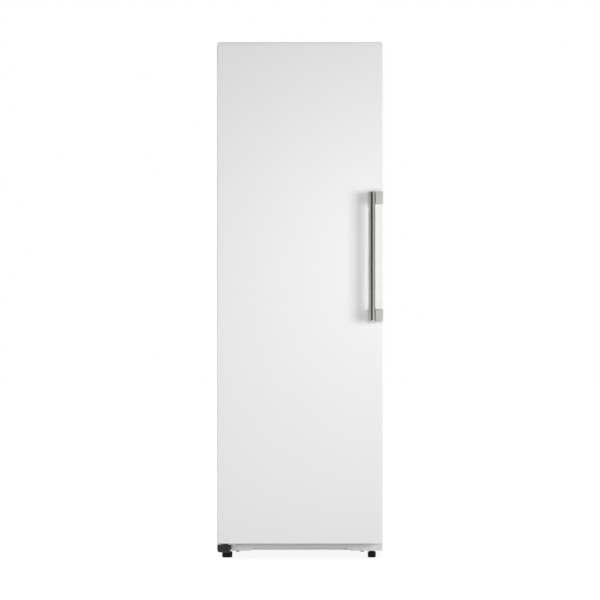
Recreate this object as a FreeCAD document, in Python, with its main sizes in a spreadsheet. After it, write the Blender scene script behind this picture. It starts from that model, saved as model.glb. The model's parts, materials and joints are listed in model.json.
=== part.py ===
# Upright freezer with one door, drawers and flaps inside, and a sealed cooling circuit.
# Millimetres; +Z up, the door faces -Y, and the origin lies on the floor under the middle.
import math
import os
import re

import FreeCAD
import Part
import Sketcher

OUT_DIR = "parts"
VECTOR = FreeCAD.Vector
DRAWER_COUNT = 5
FLAP_COUNT = 2
SHELF_COUNT = DRAWER_COUNT + FLAP_COUNT - 1
FULL_TURN = 360

# Driving dimensions: name, value, what it measures.
SIZES = [
    ("body_width", 595, "cabinet and door, side to side"),
    ("body_height", 1855, "floor to the top of the door"),
    ("cabinet_depth", 584, "cabinet, front face to back"),
    ("door_thickness", 58, "door without its handle"),
    ("gasket_gap", 8, "closed door to cabinet face"),
    ("handle_reach", 48, "door face to the front of the handle"),
    ("spacer_reach", 22, "wall spacers behind the cabinet"),
    ("underside", 28.5, "floor to the cabinet's lower edge"),
    ("base_height", 40, "floor to the foam's underside"),
    ("door_bottom", 57, "floor to the door's lower edge"),
    ("cap_rise", 20, "door top above the cabinet top"),
    ("sheet", 0.8, "painted and galvanised sheet steel"),
    ("frame_sheet", 1.5, "sheet steel of the base frame"),
    ("liner_sheet", 1.8, "vacuum-formed plastic liners"),
    ("moulding", 2.5, "walls of the moulded covers"),
    ("fit_gap", 0.3, "clearance between fitted pieces"),
    ("shaft_gap", 0.05, "radial clearance of pins and shafts"),
    ("side_wall", 62, "insulated side wall"),
    ("top_wall", 60, "insulated top wall"),
    ("floor_wall", 60, "insulated floor"),
    ("back_wall", 50, "insulated back wall"),
    ("bay_wall", 50, "insulation between bay and cavity"),
    ("bay_depth", 200, "compressor bay, front to back"),
    ("duct_depth", 62, "evaporator space behind the duct panel"),
    ("header_height", 44, "control housing under the ceiling"),
    ("face_flange", 34, "steel face round the cabinet opening"),
    ("back_flange", 12, "returns behind the back panel"),
    ("shell_bend", 3, "outer bend of the cabinet shell"),
    ("liner_corner", 6, "inner corners of the cabinet liner"),
    ("coil_recess", 6.5, "depth of the condenser's bed in the foam"),
    ("coil_bed_width", 420, "condenser bed, front to back"),
    ("coil_bed_height", 1400, "condenser bed, bottom to top"),
    ("coil_bed_base", 330, "floor to the condenser bed"),
    ("coil_tube", 5, "condenser tube diameter"),
    ("coil_pitch", 56, "spacing of the condenser's runs"),
    ("coil_runs", 7, "condenser runs on each side"),
    ("ledge", 10, "shelf ledges, square"),
    ("glass", 4, "shelf glass thickness"),
    ("shelf_setback", 50, "cabinet face to the shelf's front edge"),
    ("trim_height", 12, "front trim of a shelf"),
    ("trim_depth", 9, "front trim, front to back"),
    ("front_setback", 40, "cabinet face to the drawer fronts"),
    ("front_sheet", 3, "drawer fronts and flaps"),
    ("front_gap", 4, "gap between two drawer fronts"),
    ("drawer_side_gap", 6, "drawer to liner wall"),
    ("drawer_back_gap", 6, "drawer to duct panel"),
    ("drawer_wall", 2.5, "drawer tub walls"),
    ("drawer_taper", 5, "drawer tub, narrowing to its base"),
    ("drawer_corner", 14, "drawer tub corners"),
    ("rim_drop", 22, "drawer rim below the next shelf"),
    ("glide_gap", 0.5, "drawer base above its shelf"),
    ("grip_reach", 9, "grip ridge in front of a drawer"),
    ("grip_height", 14, "grip ridge height"),
    ("flap_drop", 8, "flap's top edge below the next shelf"),
    ("flap_pin_drop", 14, "flap pins below the next shelf"),
    ("flap_pin", 6, "flap pin diameter"),
    ("flap_boss", 14, "flap bearing boss diameter"),
    ("flap_boss_height", 4, "flap bearing boss height"),
    ("spout", 16, "drain spout, outer diameter"),
    ("spout_wall", 1.5, "drain spout wall"),
    ("spout_place", 110, "drain spout, right of the middle"),
    ("trough_width", 400, "drip trough, side to side"),
    ("trough_height", 22, "drip trough height"),
    ("trough_depth", 46, "drip trough, front to back"),
    ("trough_floor", 23, "drip trough floor, front to back"),
    ("evaporator_width", 360, "evaporator, side to side"),
    ("evaporator_tube", 8, "evaporator tube diameter"),
    ("evaporator_pitch", 32, "spacing of the evaporator's runs"),
    ("evaporator_runs", 7, "evaporator runs"),
    ("evaporator_rise", 60, "bay step to the lowest run"),
    ("fin_depth", 40, "evaporator fin, front to back"),
    ("fin_sheet", 0.6, "evaporator fin thickness"),
    ("fin_pitch", 20, "spacing of the fins"),
    ("fin_count", 16, "evaporator fins"),
    ("heater_diameter", 10, "defrost heater tube"),
    ("heater_end", 16, "rubber ends of the heater, diameter"),
    ("heater_end_length", 20, "rubber ends of the heater, length"),
    ("heater_drop", 18, "heater below the lowest run"),
    ("duct_sheet", 2.2, "duct panel thickness"),
    ("duct_return", 24, "duct panel side returns"),
    ("vent_width", 60, "air slots of the duct panel"),
    ("vent_height", 8, "air slots of the duct panel"),
    ("vent_pitch", 90, "air slots, side to side"),
    ("vent_drop", 40, "air slots below each shelf"),
    ("intake_base", 20, "intake slots above the bay step"),
    ("intake_height", 40, "intake slots, bottom to top"),
    ("intake_pitch", 45, "intake slots, side to side"),
    ("intake_count", 9, "intake slots"),
    ("fan_height", 720, "floor to the fan shaft"),
    ("fan_diameter", 120, "fan blades across their tips"),
    ("fan_hub", 34, "fan hub diameter"),
    ("fan_hub_length", 16, "fan hub length"),
    ("fan_blades", 5, "fan blades"),
    ("blade_sheet", 1.6, "fan blade thickness"),
    ("blade_root_chord", 20, "blade width at the hub"),
    ("blade_tip_chord", 38, "blade width at the tip"),
    ("blade_root_pitch", 42, "blade angle at the hub, degrees"),
    ("blade_tip_pitch", 24, "blade angle at the tip, degrees"),
    ("fan_shaft", 4, "fan shaft diameter"),
    ("fan_setback", 10, "duct panel to the fan hub"),
    ("fan_grille", 132, "fan grille opening"),
    ("grille_rim", 6.5, "fan grille slots to the edge of its opening"),
    ("grille_slots", 8, "fan grille slots"),
    ("grille_slot_root", 8, "fan grille slot width by the hub"),
    ("grille_slot_tip", 37, "fan grille slot width by the rim"),
    ("fan_motor_diameter", 44, "fan motor diameter"),
    ("fan_motor_length", 20, "fan motor length"),
    ("motor_gap", 3, "fan hub to its motor"),
    ("motor_arm", 9, "fan motor arm width"),
    ("motor_arms", 3, "fan motor arms"),
    ("header_setback", 24, "cabinet face to the control fascia"),
    ("header_depth", 70, "control housing, front to back"),
    ("knob_diameter", 30, "temperature knob"),
    ("knob_length", 12, "temperature knob in front of its fascia"),
    ("knob_shaft", 6, "temperature knob shaft"),
    ("knob_flutes", 16, "flutes round the temperature knob"),
    ("pointer_length", 22, "knob pointer ridge length"),
    ("pointer_width", 3, "knob pointer ridge width"),
    ("knob_place", -90, "temperature knob, right of the middle"),
    ("button_width", 18, "fast-freeze button width"),
    ("button_height", 10, "fast-freeze button height"),
    ("button_travel", 1.5, "fast-freeze button travel"),
    ("button_place", -20, "fast-freeze button, right of the middle"),
    ("lamp_width", 90, "ceiling lamp lens width"),
    ("lamp_height", 22, "ceiling lamp lens height"),
    ("lamp_place", 120, "ceiling lamp, right of the middle"),
    ("hinge_inset", 13, "hinge axis from the door's edge"),
    ("hinge_forward", 16, "hinge axis in front of the door's inner face"),
    ("hinge_pin", 8, "hinge pin diameter"),
    ("hinge_nose", 11, "hinge arm radius round the pin"),
    ("hinge_plate", 3, "hinge plate thickness"),
    ("hinge_pin_length", 16, "hinge pin in its bush"),
    ("hinge_base_width", 68, "top hinge on the cabinet, side to side"),
    ("hinge_base_depth", 62, "top hinge on the cabinet, front to back"),
    ("hinge_cover_height", 15, "hinge cover on the cabinet top"),
    ("bush_wall", 3, "hinge bush wall"),
    ("bush_flange", 1.2, "hinge bush flange thickness"),
    ("recess_depth", 25, "hinge recess below the door top"),
    ("recess_width", 58, "hinge recess, side to side"),
    ("recess_front", 42, "hinge recess, from the door's inner face"),
    ("cap_seam", 12, "visible height of the door's top cap"),
    ("cap_depth", 42, "door top cap, full height"),
    ("bottom_cap", 16, "door bottom cap height"),
    ("door_edge", 5, "rounding of the door's upright edges"),
    ("door_corner", 11, "rounding of the door's top corners"),
    ("cap_edge", 3, "rounding of the top cap's front rim"),
    ("door_return", 12, "door skin returns at the back"),
    ("door_raise", 10, "inner door liner in front of its flange"),
    ("door_raise_gap", 6, "inner door liner to the cavity walls"),
    ("raise_corner", 22, "inner door liner corners"),
    ("field_inset", 34, "rim of the raised middle round its field"),
    ("field_depth", 4, "depth of the field in the raised middle"),
    ("gasket_width", 18, "door gasket width"),
    ("gasket_play", 0.2, "closed gasket to the cabinet face"),
    ("gasket_groove", 3, "fold of the door gasket"),
    ("gasket_fold", 13, "gasket fold from its outer edge"),
    ("handle_length", 463, "handle, bottom to top"),
    ("handle_centre", 1086, "floor to the middle of the handle"),
    ("bar_width", 24, "handle bar, side to side"),
    ("bar_depth", 16, "handle bar, front to back"),
    ("bar_round", 11, "rounding of the bar's front"),
    ("bar_back_round", 2, "rounding of the bar's back"),
    ("bar_inset", 28.7, "door edge to the handle bar"),
    ("bracket_height", 43.7, "handle bracket height"),
    ("bracket_reach", 40, "handle bracket in front of the door"),
    ("bracket_edge", 0.3, "door edge to the handle bracket"),
    ("bracket_tongue", 7, "bracket tongue behind the bar"),
    ("tongue_round", 5, "rounding of the tongue's end"),
    ("bracket_round", 7, "rounding of the brackets"),
    ("bracket_end_round", 4, "rounding of the brackets' facing ends"),
    ("bracket_screw", 12, "bracket ends to their screws"),
    ("handle_screw", 5, "handle screw diameter"),
    ("screw_head", 9, "screw head diameter"),
    ("screw_head_height", 3, "screw head height"),
    ("left_foot_diameter", 37, "foot under the hinge side"),
    ("right_foot_diameter", 29, "foot under the handle side"),
    ("foot_gap", 6, "foot below the cross member"),
    ("foot_shoulder", 3.5, "sloping shoulder of a foot, height"),
    ("foot_edge", 3, "rounding of a foot"),
    ("foot_neck", 15, "foot neck diameter"),
    ("foot_stud", 10, "foot stud diameter"),
    ("foot_stud_gap", 2, "foot stud's end below the foam"),
    ("left_foot_place", 34.5, "left foot from the cabinet side"),
    ("right_foot_place", 38, "right foot from the cabinet side"),
    ("foot_setback", 24, "cabinet face to the feet"),
    ("member_depth", 46, "front cross member, front to back"),
    ("member_height", 45.5, "front cross member, bottom to top"),
    ("plug_diameter", 20, "dome plugs under the cross member"),
    ("plug_stem", 12.5, "stem of a dome plug"),
    ("plug_drop", 9, "dome plugs below the cross member"),
    ("plug_inset", 72.5, "dome plugs from the cabinet side"),
    ("kick_start", 50.5, "kick plate from the left side"),
    ("kick_bottom", 26, "floor to the kick plate"),
    ("kick_top", 53.5, "floor to the top of the kick plate"),
    ("kick_reach", 10, "kick plate in front of the cabinet face"),
    ("kick_edge", 2, "rounding of the kick plate's front"),
    ("notch_top_width", 332, "kick plate notch along its top"),
    ("notch_bottom_width", 360, "kick plate notch along its bottom"),
    ("notch_height", 10, "kick plate notch height"),
    ("lower_cover_width", 47, "lower hinge cover width"),
    ("lower_cover_reach", 40, "lower hinge cover in front of the cabinet"),
    ("lower_cover_top", 48.5, "floor to the top of the lower hinge cover"),
    ("lower_cover_corner", 10, "lower hinge cover corner"),
    ("lower_arm_base", 49, "floor to the lower hinge arm"),
    ("stop_width", 26, "door stop width"),
    ("stop_drop", 6.5, "door stop below the door"),
    ("stop_depth", 30, "door stop, front to back"),
    ("stop_reach", 24, "door stop in front of the hinge axis"),
    ("stop_place", 40.5, "door edge to the door stop"),
    ("pan_lip", 14, "base pan lip height"),
    ("roller_diameter", 34, "rear roller diameter"),
    ("roller_rim", 3.4, "rear roller tread thickness"),
    ("roller_window", 41, "pan windows for the rollers, front to back"),
    ("roller_width", 20, "rear roller width"),
    ("roller_place", 30, "rear roller from the cabinet side"),
    ("roller_setback", 38, "rear roller axle from the cabinet back"),
    ("roller_axle", 6, "rear roller axle diameter"),
    ("compressor_diameter", 140, "compressor shell diameter"),
    ("compressor_height", 165, "compressor shell height"),
    ("compressor_foot_round", 28, "rounding of the compressor's lower half"),
    ("compressor_crown", 54, "rounding of the compressor's upper half"),
    ("compressor_seam", 91, "compressor seam above its foot plate"),
    ("stub_height", 50, "compressor stub tubes above its foot plate"),
    ("compressor_place", 95, "compressor, right of the middle"),
    ("compressor_foot_span", 190, "compressor feet, side to side"),
    ("compressor_foot_depth", 100, "compressor feet, front to back"),
    ("grommet_diameter", 24, "rubber grommet diameter"),
    ("grommet_height", 12, "rubber grommet height"),
    ("relay_width", 34, "starting relay box, off the shell"),
    ("relay_depth", 56, "starting relay box, front to back"),
    ("relay_height", 60, "starting relay box height"),
    ("tray_width", 210, "evaporating tray, side to side"),
    ("tray_depth", 150, "evaporating tray, front to back"),
    ("tray_height", 32, "evaporating tray height"),
    ("tray_corner", 16, "evaporating tray corners"),
    ("drier_diameter", 19, "filter drier diameter"),
    ("drier_length", 100, "filter drier length"),
    ("drier_cone", 15, "drawn-in ends of the filter drier"),
    ("drier_place", -70, "filter drier, right of the middle"),
    ("drier_height", 90, "floor to the filter drier"),
    ("line_diameter", 6, "copper line diameter"),
    ("line_bend", 15, "copper line bends"),
    ("line_inset", 30, "copper lines from the side wall and from the tray"),
    ("line_drop", 36, "copper lines from the drier to their bends"),
    ("cover_slot_length", 70, "rear cover slots, length"),
    ("cover_slot_height", 5, "rear cover slots, height"),
    ("cover_slot_pitch", 14, "rear cover slots, bottom to top"),
    ("cover_slot_step", 92, "rear cover slots, side to side"),
    ("cover_slot_rows", 12, "rows of rear cover slots"),
    ("cover_slot_columns", 5, "columns of rear cover slots"),
    ("spacer_inset", 82.5, "wall spacers from the cabinet side"),
    ("spacer_drop", 145, "wall spacers below the cabinet top"),
    ("spacer_diameter", 36, "wall spacer diameter"),
    ("spacer_stem", 20, "wall spacer stem diameter"),
    ("gland_diameter", 24, "cord gland diameter"),
    ("gland_bore", 8, "cord gland bore"),
    ("gland_reach", 9, "cord gland behind the rear cover"),
    ("gland_inset", 62.5, "cord gland from the cabinet side"),
    ("gland_height", 70, "floor to the cord gland"),
]

# Places worked out from the driving dimensions, in the freezer's own frame.
PLACES = [
    ("left", "-body_width / 2"),
    ("right", "body_width / 2"),
    ("wall", "(handle_reach + door_thickness + gasket_gap + cabinet_depth + spacer_reach) / 2"),
    ("door_front", "handle_reach - wall"),
    ("door_back", "door_front + door_thickness"),
    ("face", "door_back + gasket_gap"),
    ("back", "face + cabinet_depth"),
    ("top", "body_height - cap_rise"),
    ("inner_side", "right - sheet - fit_gap"),
    ("cavity_side", "right - side_wall"),
    ("cavity_floor", "base_height + floor_wall"),
    ("ceiling", "top - top_wall"),
    ("cavity_back", "back - back_wall"),
    ("duct_front", "cavity_back - duct_depth"),
    ("header_bottom", "ceiling - header_height"),
    ("pitch", f"(header_bottom - cavity_floor) / {DRAWER_COUNT + FLAP_COUNT}"),
    ("step_top", "cavity_floor + pitch"),
    ("step_front", "bay_front - bay_wall"),
    ("bay_front", "back - bay_depth"),
    ("bay_ceiling", "step_top - bay_wall"),
    ("shelf_front", "face + shelf_setback"),
    ("front_plane", "face + front_setback"),
    ("drawer_side", "cavity_side - drawer_side_gap"),
    ("fascia", "face + header_setback"),
    ("header_middle", "header_bottom + header_height / 2"),
    ("duct_middle", "duct_front + duct_depth / 2"),
    ("evaporator_base", "step_top + evaporator_rise"),
    ("evaporator_top", "evaporator_base + evaporator_pitch * (evaporator_runs - 1)"),
    ("hinge_x", "left + hinge_inset"),
    ("hinge_y", "door_back - hinge_forward"),
    ("recess_floor", "body_height - recess_depth"),
    ("recess_side", "left + recess_width"),
    ("recess_wall", "door_back - recess_front"),
    ("seam", "body_height - cap_seam"),
    ("cap_floor", "body_height - cap_depth"),
    ("skin_side", "right - sheet - fit_gap"),
    ("flange_back", "door_back - sheet"),
    ("flange_front", "flange_back - liner_sheet"),
    ("raise_face", "door_back + door_raise"),
    ("raise_side", "cavity_side - door_raise_gap"),
    ("raise_bottom", "cavity_floor + door_raise_gap"),
    ("raise_top", "ceiling - door_raise_gap"),
    ("handle_front", "door_front - handle_reach"),
    ("bar_back", "handle_front + bar_depth"),
    ("bar_right", "right - bar_inset"),
    ("bar_left", "bar_right - bar_width"),
    ("bracket_front", "door_front - bracket_reach"),
    ("bracket_right", "right - bracket_edge"),
    ("handle_bottom", "handle_centre - handle_length / 2"),
    ("handle_top", "handle_centre + handle_length / 2"),
    ("kick_front", "face - kick_reach"),
    ("kick_left", "left + kick_start"),
    ("cover_front", "face - lower_cover_reach"),
    ("cover_right", "left + lower_cover_width"),
    ("lower_arm_top", "lower_arm_base + hinge_plate"),
    ("stop_left", "left + stop_place"),
    ("foot_y", "face + foot_setback"),
    ("foot_height", "underside - foot_gap"),
    ("foot_pad", "foot_height - foot_shoulder"),
    ("stud_end", "base_height - foot_stud_gap"),
    ("plug_place", "right - plug_inset"),
    ("left_foot_x", "left + left_foot_place"),
    ("right_foot_x", "right - right_foot_place"),
    ("spacer_place", "right - spacer_inset"),
    ("spacer_level", "top - spacer_drop"),
    ("gland_place", "left + gland_inset"),
    ("pan_top", "underside + frame_sheet"),
    ("pan_front", "bay_front + fit_gap"),
    ("cover_back", "back - sheet"),
    ("pan_back", "cover_back - moulding - fit_gap"),
    ("roller_y", "back - roller_setback"),
    ("roller_x", "right - roller_place"),
    ("bay_middle", "(pan_front + pan_back) / 2"),
    ("compressor_base", "pan_top + grommet_height"),
    ("compressor_top", "compressor_base + compressor_height"),
    ("fan_y", "duct_front + fan_setback"),
]

SIZE_NAMES = {name for name, _, _ in SIZES}
PLACE_NAMES = {name for name, _ in PLACES}

ROLES = {"XY": "XY_Plane", "XZ": "XZ_Plane", "YZ": "YZ_Plane"}
TOLERANCE = 1e-4

DOC = FreeCAD.newDocument("UprightFreezer")
SHEET = DOC.addObject("Spreadsheet::Sheet", "Sizes")
PLACE_SET = DOC.addObject("App::VarSet", "Places")
SUBPARTS = []


def qualified(text):
    """An expression with each size and place written with the object that holds it."""
    def owned(match):
        word = match.group()
        if word in SIZE_NAMES:
            return "Sizes." + word
        return "Places." + word if word in PLACE_NAMES else word
    return re.sub(r"[A-Za-z_]\w*", owned, str(text))


def value(text):
    """What an expression of sizes and places comes to."""
    return float(PLACE_SET.evalExpression(qualified(text)))


def fill_sheet():
    """Write the driving dimensions into the sheet and bind the places to them."""
    for row, (name, size, meaning) in enumerate(SIZES, 1):
        SHEET.set(f"A{row}", name)
        SHEET.set(f"B{row}", str(size))
        SHEET.setAlias(f"B{row}", name)
        SHEET.set(f"C{row}", meaning)
    DOC.recompute()
    for name, _ in PLACES:
        PLACE_SET.addProperty("App::PropertyFloat", name, "Places")
    for name, formula in PLACES:
        PLACE_SET.setExpression(name, qualified(formula))
    DOC.recompute()


# ---- drawing and features -------------------------------------------------

def new_body(label, x=None, y=None, z=None):
    """An empty body whose label names its file, at a place of its own if one is given."""
    body = DOC.addObject("PartDesign::Body", label)
    body.Label = label
    for axis, place in (("x", x), ("y", y), ("z", z)):
        if place is not None:
            body.setExpression(f"Placement.Base.{axis}", qualified(place))
    SUBPARTS.append(body)
    return body


def origin_part(body, role):
    """A plane or axis of a body's own origin."""
    return next(item for item in body.Origin.OriginFeatures if item.Role == role)


def sketch(body, plane, level, outlines, centre=("0", "0")):
    """A sketch across an axis of the body, at a level along it, drawn about a centre."""
    drawn = body.newObject("Sketcher::SketchObject", "Sketch")
    drawn.AttachmentSupport = (origin_part(body, ROLES[plane]), [""])
    drawn.MapMode = "FlatFace"
    sign = "-" if plane == "XZ" else ""
    offsets = (centre[0], centre[1], f"{sign}({level})")
    for axis, offset in zip("xyz", offsets):
        drawn.setExpression(f"AttachmentOffset.Base.{axis}", qualified(offset))
    for draw, shape in outlines:
        draw(drawn, shape)
    return drawn


def pin_point(drawn, geometry, vertex, u, v):
    """Hold one point of a sketch at two expressions."""
    for kind, place in (("DistanceX", u), ("DistanceY", v)):
        rule = Sketcher.Constraint(kind, -1, 1, geometry, vertex, value(place))
        number = drawn.addConstraint(rule)
        drawn.setExpression(f"Constraints[{number}]", qualified(place))


def set_radius(drawn, geometry, radius):
    """Hold the radius of a circle or an arc at an expression."""
    number = drawn.addConstraint(Sketcher.Constraint("Radius", geometry, value(radius)))
    drawn.setExpression(f"Constraints[{number}]", qualified(radius))


def draw_circle(drawn, shape):
    """A circle given as (u, v, radius)."""
    u, v, radius = shape
    centre = VECTOR(value(u), value(v), 0)
    geometry = drawn.addGeometry(Part.Circle(centre, VECTOR(0, 0, 1), value(radius)), False)
    pin_point(drawn, geometry, 3, u, v)
    set_radius(drawn, geometry, radius)


def draw_polygon(drawn, corners):
    """Straight sides between corners (u, v), or (u, v, radius) where a corner is rounded."""
    points = [VECTOR(value(corner[0]), value(corner[1]), 0) for corner in corners]
    count = len(points)
    leave, arrive, arcs = [], [], {}
    for index, corner in enumerate(corners):
        here = points[index]
        to_last = (points[index - 1] - here).normalize()
        to_next = (points[(index + 1) % count] - here).normalize()
        if len(corner) < 3:
            arrive.append(here)
            leave.append(here)
            continue
        radius = value(corner[2])
        half = to_last.getAngle(to_next) / 2
        arrive.append(here + to_last * (radius / math.tan(half)))
        leave.append(here + to_next * (radius / math.tan(half)))
        middle = here + (to_last + to_next).normalize() * (radius / math.sin(half))
        arcs[index] = (middle, radius, (to_last.cross(to_next)).z < 0)
    lines = [
        drawn.addGeometry(Part.LineSegment(leave[index], arrive[(index + 1) % count]), False)
        for index in range(count)
    ]
    for index, corner in enumerate(corners):
        before, after = lines[index - 1], lines[index]
        if index not in arcs:
            drawn.addConstraint(Sketcher.Constraint("Coincident", before, 2, after, 1))
            pin_point(drawn, after, 1, corner[0], corner[1])
            continue
        middle, radius, turns_left = arcs[index]
        ends = (arrive[index], leave[index]) if turns_left else (leave[index], arrive[index])
        angles = [math.atan2(end.y - middle.y, end.x - middle.x) for end in ends]
        circle = Part.Circle(middle, VECTOR(0, 0, 1), radius)
        arc = drawn.addGeometry(Part.ArcOfCircle(circle, angles[0], angles[1]), False)
        first, last = (1, 2) if turns_left else (2, 1)
        mark = drawn.addGeometry(Part.Point(points[index]), True)
        drawn.addConstraint([
            Sketcher.Constraint("Tangent", before, 2, arc, first),
            Sketcher.Constraint("Tangent", arc, last, after, 1),
            Sketcher.Constraint("PointOnObject", mark, 1, before),
            Sketcher.Constraint("PointOnObject", mark, 1, after),
        ])
        pin_point(drawn, mark, 1, corner[0], corner[1])
        set_radius(drawn, arc, corner[2])


def circle(u, v, radius):
    """The outline of a round shape."""
    return (draw_circle, (u, v, radius))


def polygon(*corners):
    """The outline of a shape with straight sides and any rounded corners."""
    return (draw_polygon, corners)


def rectangle(u_low, v_low, u_high, v_high, radius=None):
    """The outline of a rectangle, with its corners rounded if a radius is given."""
    corners = [(u_low, v_low), (u_high, v_low), (u_high, v_high), (u_low, v_high)]
    if radius is not None:
        corners = [corner + (radius,) for corner in corners]
    return (draw_polygon, corners)


def pad(body, plane, start, end, *outlines, centre=("0", "0")):
    """Add material between two levels along the axis across a plane."""
    level = end if plane == "XZ" else start
    drawn = sketch(body, plane, level, outlines, centre)
    feature = body.newObject("PartDesign::Pad", "Pad")
    feature.Profile = drawn
    feature.setExpression("Length", qualified(f"({end}) - ({start})"))
    DOC.recompute()
    return feature


def pocket(body, plane, start, end, *outlines, centre=("0", "0")):
    """Cut material away between two levels along the axis across a plane."""
    level = start if plane == "XZ" else end
    drawn = sketch(body, plane, level, outlines, centre)
    feature = body.newObject("PartDesign::Pocket", "Pocket")
    feature.Profile = drawn
    feature.setExpression("Length", qualified(f"({end}) - ({start})"))
    DOC.recompute()
    return feature


def revolve(body, plane, axis, *outlines):
    """Add the solid that outlines sweep out round an axis of the body."""
    drawn = sketch(body, plane, "0", outlines)
    feature = body.newObject("PartDesign::Revolution", "Revolution")
    feature.Profile = drawn
    feature.ReferenceAxis = (origin_part(body, axis + "_Axis"), [""])
    feature.Angle = FULL_TURN
    DOC.recompute()
    return feature


def loft(body, kind, plane, *sections):
    """Join outlines at several levels; kind is AdditiveLoft or SubtractiveLoft."""
    drawn = [sketch(body, plane, level, [outline]) for level, outline in sections]
    feature = body.newObject("PartDesign::" + kind, kind)
    feature.Profile = drawn[0]
    feature.Sections = drawn[1:]
    feature.Ruled = True
    DOC.recompute()
    return feature


def edges_along(feature, axis, **places):
    """Names of the straight edges along an axis that lie at the places given."""
    names = []
    for number, edge in enumerate(feature.Shape.Edges, 1):
        box = edge.BoundBox
        spans = {"x": (box.XMin, box.XMax), "y": (box.YMin, box.YMax), "z": (box.ZMin, box.ZMax)}
        across = [span for name, span in spans.items() if name != axis]
        straight = all(high - low < TOLERANCE for low, high in across)
        long_enough = spans[axis][1] - spans[axis][0] > TOLERANCE
        placed = all(abs(spans[name][0] - value(place)) < TOLERANCE
                     and abs(spans[name][1] - value(place)) < TOLERANCE
                     for name, place in places.items())
        if straight and long_enough and placed:
            names.append(f"Edge{number}")
    return names


def rim_edges(feature, axis, level):
    """Names of the edges that lie flat at one level along an axis."""
    names = []
    for number, edge in enumerate(feature.Shape.Edges, 1):
        box = edge.BoundBox
        low, high = {"x": (box.XMin, box.XMax), "y": (box.YMin, box.YMax),
                     "z": (box.ZMin, box.ZMax)}[axis]
        if abs(low - value(level)) < TOLERANCE and abs(high - value(level)) < TOLERANCE:
            names.append(f"Edge{number}")
    return names


def fillet(body, feature, names, radius):
    """Round some edges of a body's last feature."""
    rounded = body.newObject("PartDesign::Fillet", "Fillet")
    rounded.Base = (feature, names)
    rounded.setExpression("Radius", qualified(radius))
    DOC.recompute()
    return rounded


def repeat(body, features, axis, spacing, count):
    """Repeat features in a row along an axis of the body."""
    pattern = body.newObject("PartDesign::LinearPattern", "LinearPattern")
    pattern.Originals = features
    pattern.Direction = (origin_part(body, axis + "_Axis"), [""])
    pattern.Mode = "Spacing"
    pattern.setExpression("Offset", qualified(spacing))
    pattern.setExpression("Occurrences", qualified(count))
    body.Tip = pattern
    DOC.recompute()
    return pattern


def repeat_round(body, features, axis, count):
    """Repeat features evenly round an axis of the body, or round a sketch's normal."""
    pattern = body.newObject("PartDesign::PolarPattern", "PolarPattern")
    pattern.Originals = features
    pattern.Axis = (origin_part(body, axis + "_Axis"), [""]) if isinstance(axis, str) else axis
    pattern.Angle = FULL_TURN
    pattern.setExpression("Occurrences", qualified(count))
    body.Tip = pattern
    DOC.recompute()
    return pattern


def mirror(body, features, plane="YZ"):
    """Mirror features in one of the body's origin planes."""
    mirrored = body.newObject("PartDesign::Mirrored", "Mirrored")
    mirrored.Originals = features
    mirrored.MirrorPlane = (origin_part(body, ROLES[plane]), [""])
    body.Tip = mirrored
    DOC.recompute()
    return mirrored


def part_box(name, x_span, y_span, z_span):
    """A Part box between two expressions along each axis."""
    box = DOC.addObject("Part::Box", name)
    for axis, edge, span in zip("xyz", ("Length", "Width", "Height"), (x_span, y_span, z_span)):
        box.setExpression(f"Placement.Base.{axis}", qualified(span[0]))
        box.setExpression(edge, qualified(f"({span[1]}) - ({span[0]})"))
    return box


def compound(label, members):
    """Alike solids kept as one sub-part."""
    group = DOC.addObject("Part::Compound", label)
    group.Label = label
    group.Links = members
    SUBPARTS.append(group)
    DOC.recompute()
    return group


def bent_tube(points, diameter, bend):
    """A round tube along straight runs joined by tangent arcs."""
    edges = []
    start = points[0]
    for corner, after in zip(points[1:-1], points[2:]):
        into = (corner - start).normalize()
        out = (after - corner).normalize()
        turn = into.getAngle(out)
        reach = bend * math.tan(turn / 2)
        arc_start = corner - into * reach
        arc_end = corner + out * reach
        inward = (out - into).normalize()
        arc_middle = corner + inward * (bend / math.cos(turn / 2) - bend)
        edges.append(Part.LineSegment(start, arc_start).toShape())
        edges.append(Part.Arc(arc_start, arc_middle, arc_end).toShape())
        start = arc_end
    edges.append(Part.LineSegment(start, points[-1]).toShape())
    path = Part.Wire(edges)
    ring = Part.makeCircle(diameter / 2, points[0], points[1] - points[0])
    return path.makePipeShell([Part.Wire(ring)], True, False)


def free_form(label, shapes):
    """A sub-part whose solids Part's own functions have made."""
    feature = DOC.addObject("Part::Feature", label)
    feature.Label = label
    feature.Shape = shapes[0] if len(shapes) == 1 else Part.makeCompound(shapes)
    SUBPARTS.append(feature)
    return feature


# ---- cabinet --------------------------------------------------------------

def make_outer_shell():
    """Painted steel wrapped round both sides and the top, with a face and a back return."""
    body = new_body("outer_shell")

    def arch(width, low, *inner_radius):
        """Both sides and the top as one outline of a given width, from a height up."""
        return polygon(
            ("left", low), (f"left + {width}", low), (f"left + {width}", f"top - {width}", *inner_radius),
            (f"right - {width}", f"top - {width}", *inner_radius), (f"right - {width}", low),
            ("right", low), ("right", "top", "shell_bend"), ("left", "top", "shell_bend"))
    pad(body, "XZ", "face", "back", arch("sheet", "underside", "shell_bend - sheet"))
    pad(body, "XZ", "face", "face + sheet",
        arch("face_flange", "underside + member_height + fit_gap"))
    pad(body, "XZ", "back - sheet", "back", arch("back_flange", "underside"))


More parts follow.
